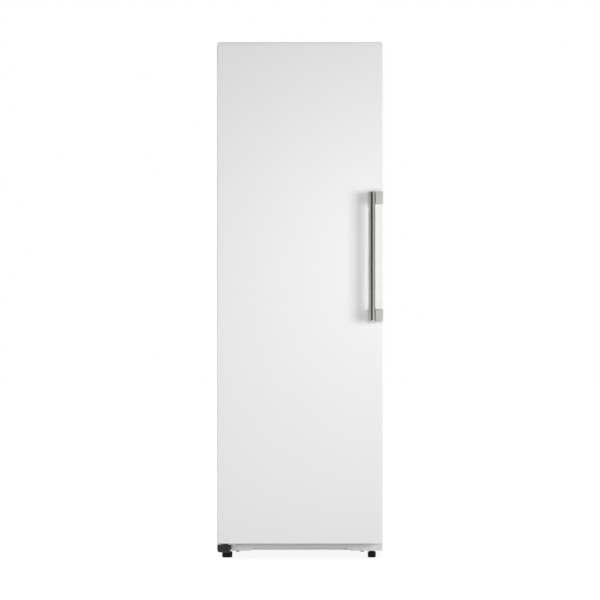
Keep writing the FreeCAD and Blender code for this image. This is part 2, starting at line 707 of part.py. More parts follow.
def make_back_panel():
    """One galvanised sheet, bent to be the back, the bay's ceiling and front, and the base."""
    body = new_body("back_panel")
    pad(body, "YZ", "-inner_side", "inner_side",
        polygon(
            ("back - 2 * sheet", "top - sheet - fit_gap"), ("back - 2 * sheet", "bay_ceiling + sheet"),
            ("bay_front - sheet", "bay_ceiling + sheet"), ("bay_front - sheet", "base_height"),
            ("face + liner_sheet", "base_height"), ("face + liner_sheet", "base_height - sheet"),
            ("bay_front", "base_height - sheet"), ("bay_front", "bay_ceiling"),
            ("back - sheet", "bay_ceiling"), ("back - sheet", "top - sheet - fit_gap")))
    pocket(body, "XY", "bay_ceiling - sheet", "bay_ceiling + 2 * sheet",
           circle("spout_place", "duct_middle", "spout / 2 + fit_gap"))


def side_outline(grow):
    """The cavity seen from the side, grown by a wall, open past the cabinet face."""
    return polygon(
        ("face - liner_corner", f"cavity_floor - {grow}"), (f"step_front - {grow}", f"cavity_floor - {grow}"),
        (f"step_front - {grow}", f"step_top - {grow}"), (f"cavity_back + {grow}", f"step_top - {grow}"),
        (f"cavity_back + {grow}", f"ceiling + {grow}"), ("face - liner_corner", f"ceiling + {grow}"))


def make_cabinet_foam():
    """Foam between shell and liner, stepped over the compressor bay."""
    body = new_body("cabinet_foam")
    block = pad(
        body, "YZ", "left + sheet", "right - sheet",
        polygon(
            ("face + liner_sheet", "base_height"), ("bay_front - sheet", "base_height"),
            ("bay_front - sheet", "bay_ceiling + sheet"), ("back - 2 * sheet", "bay_ceiling + sheet"),
            ("back - 2 * sheet", "top - sheet"), ("face + liner_sheet", "top - sheet")))
    fillet(body, block, edges_along(block, "y", z="top - sheet"), "shell_bend - sheet")
    pocket(body, "YZ", "-cavity_side - liner_sheet", "cavity_side + liner_sheet",
           side_outline("liner_sheet"))
    bed = [rectangle("duct_front - coil_bed_width", "coil_bed_base",
                     "duct_front", "coil_bed_base + coil_bed_height")]
    pocket(body, "YZ", "left + sheet", "left + sheet + coil_recess", *bed)
    pocket(body, "YZ", "right - sheet - coil_recess", "right - sheet", *bed)
    pocket(body, "XY", "bay_ceiling", "step_top",
           circle("spout_place", "duct_middle", "spout / 2 + fit_gap"))


def make_inner_liner():
    """White liner with a flange, shelf ledges, flap bearings and a drain hole."""
    body = new_body("inner_liner")
    grown = polygon(
        ("face", "cavity_floor - liner_sheet"), ("step_front - liner_sheet", "cavity_floor - liner_sheet"),
        ("step_front - liner_sheet", "step_top - liner_sheet"),
        ("cavity_back + liner_sheet", "step_top - liner_sheet"),
        ("cavity_back + liner_sheet", "ceiling + liner_sheet"), ("face", "ceiling + liner_sheet"))
    pad(body, "YZ", "-cavity_side - liner_sheet", "cavity_side + liner_sheet", grown)
    hollow = pocket(body, "YZ", "-cavity_side", "cavity_side", side_outline("0"))
    corners = [name for level in ("cavity_floor", "step_top", "ceiling")
               for side in ("-cavity_side", "cavity_side")
               for name in edges_along(hollow, "y", x=side, z=level)]
    fillet(body, hollow, corners, "liner_corner")
    flange_side = "right - face_flange - fit_gap"
    pad(body, "XZ", "face", "face + liner_sheet",
        rectangle(f"-({flange_side})", "underside + member_height + fit_gap",
                  flange_side, "top - face_flange - fit_gap"),
        rectangle("-cavity_side", "cavity_floor", "cavity_side", "ceiling"))
    ledge_top = "cavity_floor + pitch - glass"
    for first, count, end in ((1, 1, "step_front - 2 * liner_sheet"),
                              (2, SHELF_COUNT - 1, "duct_front - 2 * liner_sheet")):
        level = f"{ledge_top} + pitch * {first - 1}"
        ledges = pad(body, "XZ", "shelf_front + trim_depth", end,
                     rectangle("-cavity_side", f"{level} - ledge", "-cavity_side + ledge", level),
                     rectangle("cavity_side - ledge", f"{level} - ledge", "cavity_side", level))
        if count > 1:
            repeat(body, [ledges], "Z", "pitch", str(count))
    pin_y = "front_plane + front_sheet / 2"
    pin_z = f"cavity_floor + pitch * {DRAWER_COUNT + 1} - flap_pin_drop"
    bosses = [
        pad(body, "YZ", start, end, circle(pin_y, pin_z, "flap_boss / 2"))
        for start, end in (("-cavity_side", "-cavity_side + flap_boss_height"),
                           ("cavity_side - flap_boss_height", "cavity_side"))]
    repeat(body, bosses, "Z", "pitch", str(FLAP_COUNT))
    bores = [
        pocket(body, "YZ", start, end, circle(pin_y, pin_z, "flap_pin / 2 + shaft_gap"))
        for start, end in (("-cavity_side - liner_sheet", "-cavity_side + 2 * flap_boss_height"),
                           ("cavity_side - 2 * flap_boss_height", "cavity_side + liner_sheet"))]
    repeat(body, bores, "Z", "pitch", str(FLAP_COUNT))
    pocket(body, "XY", "step_top - 2 * liner_sheet", "step_top + liner_sheet",
           circle("spout_place", "duct_middle", "spout / 2 + fit_gap"))


def make_front_cross_member():
    """Bent steel channel that joins the sides at the front and carries the feet."""
    body = new_body("front_cross_member")
    pad(body, "YZ", "-inner_side", "inner_side",
        polygon(
            ("face", "underside"), ("face + member_depth", "underside"),
            ("face + member_depth", "base_height - 2 * sheet"),
            ("face + member_depth - frame_sheet", "base_height - 2 * sheet"),
            ("face + member_depth - frame_sheet", "pan_top"), ("face + frame_sheet", "pan_top"),
            ("face + frame_sheet", "underside + member_height"),
            ("face", "underside + member_height")))
    stud = "foot_stud / 2 + shaft_gap"
    plug = "plug_stem / 2"
    pocket(body, "XY", "underside - sheet", "pan_top + sheet",
           circle("left_foot_x", "foot_y", stud), circle("right_foot_x", "foot_y", stud),
           circle("-plug_place", "foot_y", plug), circle("plug_place", "foot_y", plug))


def make_cross_member_plugs():
    """Dome plugs that close the holes under the cross member."""
    body = new_body("cross_member_plugs", y="foot_y", z="underside")
    dome = pad(body, "XY", "-plug_drop", "0", circle("plug_place", "0", "plug_diameter / 2"))
    rounded = fillet(body, dome, rim_edges(dome, "z", "-plug_drop"), "plug_drop - fit_gap")
    stem = pad(body, "XY", "0", "2 * frame_sheet", circle("plug_place", "0", "plug_stem / 2 - fit_gap"))
    mirror(body, [dome, rounded, stem])


def make_kick_plate():
    """White plinth with a shallow notch, hollow behind."""
    body = new_body("kick_plate")

    def front(inset, height):
        """The plinth's front, drawn in by a wall, up to a height."""
        return polygon(
            (f"kick_left + {inset}", f"kick_bottom + {inset}"),
            (f"-notch_bottom_width / 2 - {inset}", f"kick_bottom + {inset}"),
            (f"-notch_top_width / 2 - {inset}", f"kick_bottom + notch_height + {inset}"),
            (f"notch_top_width / 2 + {inset}", f"kick_bottom + notch_height + {inset}"),
            (f"notch_bottom_width / 2 + {inset}", f"kick_bottom + {inset}"),
            (f"right - {inset}", f"kick_bottom + {inset}"), (f"right - {inset}", height),
            (f"kick_left + {inset}", height))
    plate = pad(body, "XZ", "kick_front", "face - fit_gap", front("0", "kick_top"))
    fillet(body, plate, edges_along(plate, "z", x="right", y="kick_front")
           + edges_along(plate, "x", y="kick_front", z="kick_top"), "kick_edge")
    pocket(body, "XZ", "kick_front + moulding", "face", front("moulding", "kick_top - moulding"))


def make_base_pan():
    """Steel pan of the compressor bay, with lips, roller windows and axle brackets."""
    body = new_body("base_pan")
    pad(body, "YZ", "-inner_side", "inner_side",
        polygon(
            ("pan_front", "underside"), ("pan_back", "underside"), ("pan_back", "underside + pan_lip"),
            ("pan_back - frame_sheet", "underside + pan_lip"), ("pan_back - frame_sheet", "pan_top"),
            ("pan_front + frame_sheet", "pan_top"), ("pan_front + frame_sheet", "underside + pan_lip"),
            ("pan_front", "underside + pan_lip")))
    half = "(roller_width / 2 + 2 * frame_sheet)"
    window = pocket(
        body, "XY", "underside - sheet", "pan_top + sheet",
        rectangle(f"roller_x - {half}", "roller_y - roller_window / 2",
                  f"roller_x + {half}", "roller_y + roller_window / 2", "frame_sheet"))
    mirror(body, [window])
    cheek = polygon(
        ("roller_y - roller_axle", "roller_diameter / 2 - roller_axle", "roller_axle / 2"),
        ("roller_y + roller_axle", "roller_diameter / 2 - roller_axle", "roller_axle / 2"),
        ("roller_y + roller_window / 2", "pan_top"), ("roller_y - roller_window / 2", "pan_top"))
    bore = circle("roller_y", "roller_diameter / 2", "roller_axle / 2")
    for start in (f"roller_x - {half} - frame_sheet", f"roller_x + {half}"):
        plate = pad(body, "YZ", start, f"{start} + frame_sheet", cheek, bore)
        mirror(body, [plate])


def make_bay_cover():
    """Rear cover of the compressor bay, with rows of rounded air slots."""
    body = new_body("bay_cover")
    pad(body, "XZ", "cover_back - moulding", "cover_back",
        rectangle("-inner_side + back_flange", "underside",
                  "inner_side - back_flange", "bay_ceiling - fit_gap", "liner_corner"))
    first_x = "-cover_slot_step * (cover_slot_columns - 1) / 2"
    first_z = "(underside + bay_ceiling) / 2 - cover_slot_pitch * (cover_slot_rows - 1) / 2"
    slot = pocket(
        body, "XZ", "cover_back - 2 * moulding", "cover_back + moulding",
        rectangle(f"{first_x} - cover_slot_length / 2", f"{first_z} - cover_slot_height / 2",
                  f"{first_x} + cover_slot_length / 2", f"{first_z} + cover_slot_height / 2"))
    slots = body.newObject("PartDesign::LinearPattern", "LinearPattern")
    slots.Originals = [slot]
    slots.Direction = (origin_part(body, "X_Axis"), [""])
    slots.Direction2 = (origin_part(body, "Z_Axis"), [""])
    slots.Mode = "Spacing"
    slots.Mode2 = "Spacing"
    slots.setExpression("Offset", qualified("cover_slot_step"))
    slots.setExpression("Offset2", qualified("cover_slot_pitch"))
    slots.setExpression("Occurrences", qualified("cover_slot_columns"))
    slots.setExpression("Occurrences2", qualified("cover_slot_rows"))
    body.Tip = slots
    DOC.recompute()
    pocket(body, "XZ", "cover_back - 2 * moulding", "cover_back + moulding",
           circle("gland_place", "gland_height", "gland_diameter / 2 - moulding"),
           *[circle(x, z, "handle_screw / 2 + shaft_gap") for x, z in bay_cover_screws()])


def bay_cover_screws():
    """Where the rear cover is screwed to the base pan's lip."""
    level = "underside + pan_lip / 2"
    return [("-cover_slot_step * 2", level), ("0", level), ("cover_slot_step * 2", level)]


# ---- compressor bay -------------------------------------------------------

def make_compressor():
    """Welded round shell with a seam, a foot plate and two stub tubes for the lines."""
    body = new_body("compressor", x="compressor_place", y="bay_middle", z="compressor_base")
    radius = "compressor_diameter / 2"
    revolve(body, "XZ", "Z",
            polygon(("0", "0"), (radius, "0", "compressor_foot_round"),
                    (radius, "compressor_height", "compressor_crown"), ("0", "compressor_height")))
    pad(body, "XY", "compressor_seam", "compressor_seam + frame_sheet * 2",
        circle("0", "0", f"{radius} + frame_sheet"))
    stub = "line_diameter / 2 + sheet"
    pad(body, "YZ", f"-{radius}", "0", circle("-compressor_diameter / 4", "stub_height", stub))
    pad(body, "YZ", "0", f"{radius} + line_diameter", circle("0", "stub_height", stub))
    half_span, half_depth = "compressor_foot_span / 2", "compressor_foot_depth / 2"
    pad(body, "XY", "0", "frame_sheet * 2",
        rectangle(f"-{half_span}", f"-{half_depth}", half_span, half_depth, "grommet_diameter / 2"))
    place = ("compressor_foot_span / 2 - grommet_diameter / 2",
             "compressor_foot_depth / 2 - grommet_diameter / 2")
    holes = [circle(f"{x_sign}({place[0]})", f"{y_sign}({place[1]})", "handle_screw / 2 + fit_gap")
             for x_sign in ("", "-") for y_sign in ("", "-")]
    pocket(body, "XY", "-sheet", "frame_sheet * 2 + sheet", *holes)


def make_compressor_grommets():
    """Four rubber grommets between the compressor's foot plate and the pan."""
    body = new_body("compressor_grommets", x="compressor_place", y="bay_middle", z="pan_top")
    x = "compressor_foot_span / 2 - grommet_diameter / 2"
    y = "compressor_foot_depth / 2 - grommet_diameter / 2"
    rings = [shape for x_sign in ("", "-") for y_sign in ("", "-")
             for shape in (circle(f"{x_sign}({x})", f"{y_sign}({y})", "grommet_diameter / 2"),
                           circle(f"{x_sign}({x})", f"{y_sign}({y})", "handle_screw / 2 + fit_gap"))]
    ring = pad(body, "XY", "0", "grommet_height", *rings)
    waist = [name for number, edge in enumerate(ring.Shape.Edges, 1)
             for name in [f"Edge{number}"]
             if edge.Curve.TypeId == "Part::GeomCircle"
             and abs(edge.Curve.Radius - value("grommet_diameter / 2")) < TOLERANCE]
    fillet(body, ring, waist, "frame_sheet * 2")


def make_relay_box():
    """Starting relay in its box on the compressor's side, with a wire outlet."""
    side = "compressor_place - compressor_diameter / 2"
    base = "compressor_base + grommet_height"
    body = new_body("relay_box", y="bay_middle", z=base)
    box = pad(body, "XY", "0", "relay_height",
              rectangle(f"{side} - relay_width", "-relay_depth / 2",
                        "compressor_place", "relay_depth / 2", "frame_sheet * 2"))
    fillet(body, box, rim_edges(box, "z", "relay_height"), "frame_sheet")
    pocket(body, "XY", "-sheet", "relay_height + sheet",
           circle("compressor_place", "0", "compressor_diameter / 2 + frame_sheet + fit_gap"))


def make_evaporating_tray():
    """Open tray on top of the compressor that catches the defrost water."""
    body = new_body("evaporating_tray", x="compressor_place", y="bay_middle", z="compressor_top")

    def outline(inset):
        """The tray's outline, drawn in all round."""
        return rectangle(f"-(tray_width / 2 - {inset})", f"-(tray_depth / 2 - {inset})",
                         f"tray_width / 2 - {inset}", f"tray_depth / 2 - {inset}",
                         f"tray_corner - {inset}")
    loft(body, "AdditiveLoft", "XY", ("0", outline("4 * moulding")), ("tray_height", outline("moulding")))
    loft(body, "SubtractiveLoft", "XY", ("moulding", outline("5 * moulding")),
         ("tray_height + fit_gap", outline("2 * moulding")))
    pad(body, "XY", "tray_height - moulding", "tray_height", outline("0"), outline("2 * moulding"))


def make_filter_drier():
    """Copper filter drier, a cylinder with drawn-in ends, standing in the bay."""
    body = new_body("filter_drier", x="drier_place", y="bay_middle", z="drier_height")
    end = "drier_length - drier_cone"
    revolve(body, "XZ", "Z",
            polygon(("0", "0"), ("line_diameter / 2", "0"), ("line_diameter / 2", "line_diameter"),
                    ("drier_diameter / 2", "drier_cone", "line_diameter / 2"),
                    ("drier_diameter / 2", end, "line_diameter / 2"),
                    ("line_diameter / 2", "drier_length - line_diameter"),
                    ("line_diameter / 2", "drier_length"), ("0", "drier_length")))


def make_copper_lines():
    """Copper lines of the bay: discharge, suction, and both ends of the filter drier."""
    middle, beside = value("bay_middle"), value("bay_middle - compressor_diameter / 4")
    line, bend, drop = value("line_diameter"), value("line_bend"), value("line_drop")
    shell_left = value("compressor_place - compressor_diameter / 2")
    shell_right = value("compressor_place + compressor_diameter / 2 + line_diameter")
    stub = value("compressor_base + stub_height")
    ceiling, wall = value("bay_ceiling - fit_gap"), value("bay_front + fit_gap")
    outside = value("inner_side - line_inset")
    inside = value("compressor_place - tray_width / 2 - line_inset")
    drier_x, drier_bottom = value("drier_place"), value("drier_height")
    drier_top = value("drier_height + drier_length")
    routes = [
        [VECTOR(shell_right, middle, stub), VECTOR(outside, middle, stub),
         VECTOR(outside, middle, ceiling)],
        [VECTOR(shell_left, beside, stub), VECTOR(inside, beside, stub),
         VECTOR(inside, beside, ceiling)],
        [VECTOR(drier_x, middle, drier_top), VECTOR(drier_x, middle, drier_top + drop),
         VECTOR(drier_x - drop, middle, drier_top + drop), VECTOR(drier_x - drop, middle, ceiling)],
        [VECTOR(drier_x, middle, drier_bottom), VECTOR(drier_x, middle, drier_bottom - drop),
         VECTOR(drier_x, wall, drier_bottom - drop)],
    ]
    free_form("copper_lines", [bent_tube(route, line, bend) for route in routes])


def serpentine(start, run, step, count, diameter):
    """A tube of parallel runs, each a step from the last, joined by half turns."""
    bulge = VECTOR(run).normalize() * (step.Length / 2)
    edges = []
    for number in range(count):
        near = start + step * number
        far = near + run
        edges.append(Part.LineSegment(near, far).toShape())
        if number < count - 1:
            end, out = (far, bulge) if number % 2 == 0 else (near, -bulge)
            edges.append(Part.Arc(end, end + step / 2 + out, end + step).toShape())
    path = Part.Wire(Part.__sortEdges__(edges))
    ring = Part.makeCircle(diameter / 2, start, run)
    return path.makePipeShell([Part.Wire(ring)], True, False)


def make_condenser_coils():
    """A serpentine of tube in each side's foam bed, against the outer shell."""
    tube, pitch = value("coil_tube"), value("coil_pitch")
    runs = round(value("coil_runs"))
    low = value("coil_bed_base") + tube * 2 + pitch / 2
    high = value("coil_bed_base + coil_bed_height") - tube * 2 - pitch / 2
    first = value("duct_front - coil_bed_width / 2") - pitch * (runs - 1) / 2
    side = value("right - sheet - coil_tube / 2 - fit_gap")
    free_form("condenser_coils", [
        serpentine(VECTOR(x, first, low), VECTOR(0, 0, high - low), VECTOR(0, pitch, 0), runs, tube)
        for x in (-side, side)])


# ---- evaporator space -----------------------------------------------------

def make_evaporator_coil():
    """Aluminium serpentine whose runs lie across the evaporator space."""
    start = VECTOR(value("-evaporator_width / 2"), value("duct_middle"), value("evaporator_base"))
    free_form("evaporator_coil", [serpentine(
        start, VECTOR(value("evaporator_width"), 0, 0), VECTOR(0, 0, value("evaporator_pitch")),
        round(value("evaporator_runs")), value("evaporator_tube"))])


def make_evaporator_fins():
    """Thin fins, each slit from behind to press onto every run of the coil."""
    body = new_body("evaporator_fins")
    front, rear = "duct_middle - fin_depth / 2", "duct_middle + fin_depth / 2"
    slit = "(evaporator_tube / 2 + shaft_gap)"
    bottom, top = "evaporator_base - evaporator_pitch / 2", "evaporator_top + evaporator_pitch / 2"
    corners = [(front, bottom), (rear, bottom)]
    for run in range(round(value("evaporator_runs"))):
        middle = f"evaporator_base + evaporator_pitch * {run}"
        corners += [(rear, f"{middle} - {slit}"), (f"duct_middle - {slit}", f"{middle} - {slit}"),
                    (f"duct_middle - {slit}", f"{middle} + {slit}"), (rear, f"{middle} + {slit}")]
    corners += [(rear, top), (front, top)]
    first = "-fin_pitch * (fin_count - 1) / 2"
    fin = pad(body, "YZ", f"{first} - fin_sheet / 2", f"{first} + fin_sheet / 2", polygon(*corners))
    repeat(body, [fin], "X", "fin_pitch", "fin_count")


def make_defrost_heater():
    """Glass-tube defrost heater under the coil, with rubber ends."""
    body = new_body("defrost_heater", y="duct_middle",
                    z="evaporator_base - evaporator_tube / 2 - heater_drop")
    half = "evaporator_width / 2"
    revolve(body, "XY", "X",
            polygon((f"-{half}", "0"), (f"-{half}", "heater_end / 2"),
                    (f"-{half} + heater_end_length", "heater_end / 2"),
                    (f"-{half} + heater_end_length", "heater_diameter / 2"),
                    (f"{half} - heater_end_length", "heater_diameter / 2"),
                    (f"{half} - heater_end_length", "heater_end / 2"),
                    (half, "heater_end / 2"), (half, "0")))


def make_drip_trough():
    """Sloped trough under the evaporator with a spout down into the bay."""
    body = new_body("drip_trough", y="duct_middle", z="step_top")
    half, top, deep = "trough_width / 2", "trough_depth / 2", "trough_floor / 2"
    pad(body, "YZ", f"-{half}", half,
        polygon((f"-{deep}", "0"), (deep, "0"), (top, "trough_height"), (f"-{top}", "trough_height")))
    pocket(body, "YZ", f"-{half} + frame_sheet", f"{half} - frame_sheet",
           polygon((f"-{deep} + frame_sheet", "frame_sheet"), (f"{deep} - frame_sheet", "frame_sheet"),
                   (f"{top} - frame_sheet", "trough_height + sheet"),
                   (f"-{top} + frame_sheet", "trough_height + sheet")))
    pad(body, "XY", "bay_ceiling - step_top - spout", "0", circle("spout_place", "0", "spout / 2"))
    pocket(body, "XY", "bay_ceiling - step_top - spout - sheet", "2 * frame_sheet",
           circle("spout_place", "0", "spout / 2 - spout_wall"))


def make_duct_panel():
    """Panel in front of the evaporator, with air slots, a fan grille and side returns."""
    body = new_body("duct_panel")
    side = "cavity_side - fit_gap"
    low, high = "step_top + fit_gap", "header_bottom - fit_gap"
    pad(body, "XZ", "duct_front", "duct_front + duct_sheet",
        polygon((f"-({side})", low, "liner_corner"), (side, low, "liner_corner"),
                (side, high), (f"-({side})", high)))
    for start, end in ((f"-({side})", f"-({side}) + duct_sheet"), (f"{side} - duct_sheet", side)):
        pad(body, "YZ", start, end,
            rectangle("duct_front", f"{low} + liner_corner", "duct_front + duct_return", high))
    slot_z = f"step_top + pitch * {DRAWER_COUNT - 1} - vent_drop"
    slots = [rectangle(f"{place} - vent_width / 2", f"{slot_z} - vent_height / 2",
                       f"{place} + vent_width / 2", f"{slot_z} + vent_height / 2")
             for place in ("-vent_pitch", "0", "vent_pitch")]
    vents = pocket(body, "XZ", "duct_front - duct_sheet", "duct_front + 2 * duct_sheet", *slots)
    repeat(body, [vents], "Z", "pitch", str(FLAP_COUNT))
    intake = pocket(body, "XZ", "duct_front - duct_sheet", "duct_front + 2 * duct_sheet",
                    rectangle("-intake_pitch * (intake_count - 1) / 2 - vent_height / 2",
                              "step_top + intake_base",
                              "-intake_pitch * (intake_count - 1) / 2 + vent_height / 2",
                              "step_top + intake_base + intake_height"))
    repeat(body, [intake], "X", "intake_pitch", "intake_count")
    inner, outer = "fan_hub / 2 + duct_sheet", "fan_grille / 2 - grille_rim"
    sector = polygon(("grille_slot_root / 2", inner), ("grille_slot_tip / 2", outer, "duct_sheet"),
                     ("-grille_slot_tip / 2", outer, "duct_sheet"), ("-grille_slot_root / 2", inner))
    opening = pocket(body, "XZ", "duct_front - duct_sheet", "duct_front + 2 * duct_sheet",
                     sector, centre=("0", "fan_height"))
    repeat_round(body, [opening], (opening.Profile[0], ["N_Axis"]), "grille_slots")


def make_fan_motor():
    """Fan motor behind the blades, with three arms that reach the duct panel."""
    body = new_body("fan_motor", y="fan_y", z="fan_height")
    start = "fan_hub_length + motor_gap"
    motor = pad(body, "XZ", start, f"{start} + fan_motor_length",
                circle("0", "0", "fan_motor_diameter / 2"))
    fillet(body, motor, rim_edges(motor, "y", f"{start} + fan_motor_length"), "duct_sheet")
    pad(body, "XZ", "duct_sheet", start, circle("0", "0", "fan_shaft / 2"))
    reach = "fan_grille / 2 + motor_arm / 2"
    arm = pad(body, "XZ", f"{start} + duct_sheet", f"{start} + 3 * duct_sheet",
              rectangle("-motor_arm / 2", "fan_motor_diameter / 2 - duct_sheet", "motor_arm / 2", reach))
    post = pad(body, "XZ", "duct_sheet - fan_setback + fit_gap", f"{start} + 3 * duct_sheet",
               circle("0", reach, "motor_arm / 2"))
    repeat_round(body, [arm, post], "Y", "motor_arms")


def make_fan_blades():
    """Fan hub with twisted blades lofted from root to tip."""
    body = new_body("fan_blades", y="fan_y", z="fan_height")
    revolve(body, "XY", "Y",
            polygon(("fan_shaft / 2 + shaft_gap", "0"), ("fan_hub / 2", "0", "duct_sheet"),
                    ("fan_hub / 2", "fan_hub_length"), ("fan_shaft / 2 + shaft_gap", "fan_hub_length")))

    def blade_section(chord, angle):
        """A thin slanted section of the blade, across its radius."""
        middle = "fan_hub_length / 2"
        along = (f"{chord} / 2 * cos({angle} * 1deg)", f"{chord} / 2 * sin({angle} * 1deg)")
        across = (f"blade_sheet / 2 * sin({angle} * 1deg)", f"blade_sheet / 2 * cos({angle} * 1deg)")
        corners = []
        for run, rise in (("-", "+"), ("", "+"), ("", "-"), ("-", "-")):
            u_turn = "-" if rise == "+" else "+"
            corners.append((f"{run or '+'}{along[0]} {u_turn} {across[0]}",
                            f"{middle} {run or '+'} {along[1]} {rise} {across[1]}"))
        return polygon(*corners)
    blade = loft(
        body, "AdditiveLoft", "XY",
        ("fan_hub / 2 - duct_sheet", blade_section("blade_root_chord", "blade_root_pitch")),
        ("(fan_hub + fan_diameter) / 4", blade_section("(blade_root_chord + blade_tip_chord) / 2",
                                                       "(blade_root_pitch + blade_tip_pitch) / 2")),
        ("fan_diameter / 2", blade_section("blade_tip_chord", "blade_tip_pitch")))
    repeat_round(body, [blade], "Y", "fan_blades")


# ---- cavity fittings ------------------------------------------------------

def make_shelves():
    """Glass shelves on the liner's ledges and the trims along their front edges."""
    glasses = []
    for number in range(1, SHELF_COUNT + 1):
        level = f"cavity_floor + pitch * {number}"
        end = "step_front - 2 * liner_sheet" if number == 1 else "duct_front - 2 * liner_sheet"
        glasses.append(part_box(f"Glass{number}", ("-cavity_side + fit_gap", "cavity_side - fit_gap"),
                                ("shelf_front + trim_depth / 3", end), (f"{level} - glass", level)))
    compound("shelf_glasses", glasses)
    body = new_body("shelf_trims")
    level = "cavity_floor + pitch"
    trim = pad(body, "YZ", "-cavity_side + fit_gap", "cavity_side - fit_gap",
               polygon(("shelf_front", f"{level} - trim_height"),
                       ("shelf_front + trim_depth / 3", f"{level} - trim_height"),
                       ("shelf_front + trim_depth / 3", f"{level} - glass - frame_sheet"),
                       ("shelf_front + trim_depth", f"{level} - glass - frame_sheet"),
                       ("shelf_front + trim_depth", f"{level} - glass"),
                       ("shelf_front + trim_depth / 3", f"{level} - glass"),
                       ("shelf_front + trim_depth / 3", level), ("shelf_front", level)))
    repeat(body, [trim], "Z", "pitch", str(SHELF_COUNT))


def make_control_panel():
    """Control housing under the ceiling, with holes for the knob, button and lamp."""
    body = new_body("control_panel")
    side = "cavity_side - fit_gap"
    low, high = "header_bottom", "ceiling - liner_corner"
    pad(body, "YZ", f"-({side})", side,
        polygon(("fascia", low, "frame_sheet"), ("fascia + header_depth", low),
                ("fascia + header_depth", f"{low} + moulding"),
                ("fascia + moulding", f"{low} + moulding"), ("fascia + moulding", high), ("fascia", high)))
    for start, end in ((f"-({side})", f"-({side}) + moulding"), (f"{side} - moulding", side)):
        pad(body, "YZ", start, end, rectangle("fascia", low, "fascia + header_depth", high))
    pocket(body, "XZ", "fascia - moulding", "fascia + 2 * moulding",
           circle("knob_place", "header_middle", "knob_shaft / 2 + shaft_gap"),
           rectangle("button_place - button_width / 2 - fit_gap",
                     "header_middle - button_height / 2 - fit_gap",
                     "button_place + button_width / 2 + fit_gap",
                     "header_middle + button_height / 2 + fit_gap", "frame_sheet + fit_gap"),
           rectangle("lamp_place - lamp_width / 2 - fit_gap", "header_middle - lamp_height / 2 - fit_gap",
                     "lamp_place + lamp_width / 2 + fit_gap",
                     "header_middle + lamp_height / 2 + fit_gap", "moulding + fit_gap"))


def make_ceiling_lamp():
    """Lamp lens in the control housing, with a flange behind the fascia."""
    body = new_body("ceiling_lamp", x="lamp_place", z="header_middle")
    lens = pad(body, "XZ", "fascia - frame_sheet", "fascia + moulding + frame_sheet",
               rectangle("-lamp_width / 2", "-lamp_height / 2", "lamp_width / 2", "lamp_height / 2",
                         "moulding"))
    fillet(body, lens, rim_edges(lens, "y", "fascia - frame_sheet"), "sheet")
    pad(body, "XZ", "fascia + moulding", "fascia + moulding + frame_sheet",
        rectangle("-lamp_width / 2 - moulding", "-lamp_height / 2 - moulding",
                  "lamp_width / 2 + moulding", "lamp_height / 2 + moulding", "2 * moulding"))


def make_temperature_knob():
    """Fluted knob with a pointer ridge, on a shaft through the fascia."""
    body = new_body("temperature_knob", x="knob_place", y="fascia", z="header_middle")
    cap = pad(body, "XZ", "-knob_length", "-fit_gap", circle("0", "0", "knob_diameter / 2"))
    fillet(body, cap, rim_edges(cap, "y", "-knob_length"), "frame_sheet")
    flute = pocket(body, "XZ", "-knob_length - fit_gap", "-frame_sheet",
                   circle("0", "knob_diameter / 2 + frame_sheet / 3", "frame_sheet"))
    repeat_round(body, [flute], "Y", "knob_flutes")
    pad(body, "XZ", "-knob_length - frame_sheet", "-knob_length",
        rectangle("-pointer_width / 2", "-pointer_length / 2", "pointer_width / 2", "pointer_length / 2",
                  "pointer_width / 3"))
    pad(body, "XZ", "-fit_gap", "3 * moulding", circle("0", "0", "knob_shaft / 2"))


def make_fast_freeze_button():
    """Push button with a flange that keeps it behind the fascia."""
    body = new_body("fast_freeze_button", x="button_place", y="fascia", z="header_middle")
    front, rear = "-button_travel - frame_sheet", "moulding + fit_gap"
    cap = pad(body, "XZ", front, rear,
              rectangle("-button_width / 2", "-button_height / 2", "button_width / 2",
                        "button_height / 2", "frame_sheet"))
    fillet(body, cap, rim_edges(cap, "y", front), "frame_sheet / 2")
    pad(body, "XZ", rear, f"{rear} + frame_sheet",
        rectangle("-button_width / 2 - frame_sheet", "-button_height / 2 - frame_sheet",
                  "button_width / 2 + frame_sheet", "button_height / 2 + frame_sheet", "frame_sheet"))


def make_drawer(number):
    """Clear tub with a taller front and a grip ridge; each tub tapers to its base."""
    body = new_body(f"drawer_{number}", z=f"cavity_floor + pitch * {number - 1}")
    rear = "step_front - drawer_back_gap" if number == 1 else "duct_front - drawer_back_gap"
    front = "front_plane + front_sheet"
    rim = "pitch - rim_drop"

    def outline(inset):
        """The tub's plan, drawn in by a wall and its taper."""
        return rectangle(f"-drawer_side + {inset}", f"{front} - front_sheet + {inset}",
                         f"drawer_side - {inset}", f"{rear} - {inset}", f"drawer_corner - {inset}")
    loft(body, "AdditiveLoft", "XY", ("glide_gap", outline("drawer_taper")), (rim, outline("0")))
    loft(body, "SubtractiveLoft", "XY",
         ("glide_gap + drawer_wall", outline("(drawer_taper + drawer_wall)")),
         (f"{rim} + fit_gap", outline("drawer_wall")))
    pad(body, "XZ", "front_plane", front,
        rectangle("-drawer_side", "front_gap / 2", "drawer_side", "pitch - front_gap / 2", "front_gap"))
    pad(body, "YZ", "-drawer_side + drawer_corner", "drawer_side - drawer_corner",
        polygon((front, "pitch - front_gap - grip_height"), (front, "pitch - front_gap"),
                ("front_plane - grip_reach", "pitch - front_gap", "front_sheet"),
                ("front_plane - grip_reach", "pitch - front_gap - grip_height"),
                ("front_plane - grip_reach + front_sheet", "pitch - front_gap - grip_height"),
                ("front_plane - grip_reach + front_sheet", "pitch - front_gap - front_sheet"),
                ("front_plane", "pitch - front_gap - front_sheet"),
                ("front_plane", "pitch - front_gap - grip_height")))


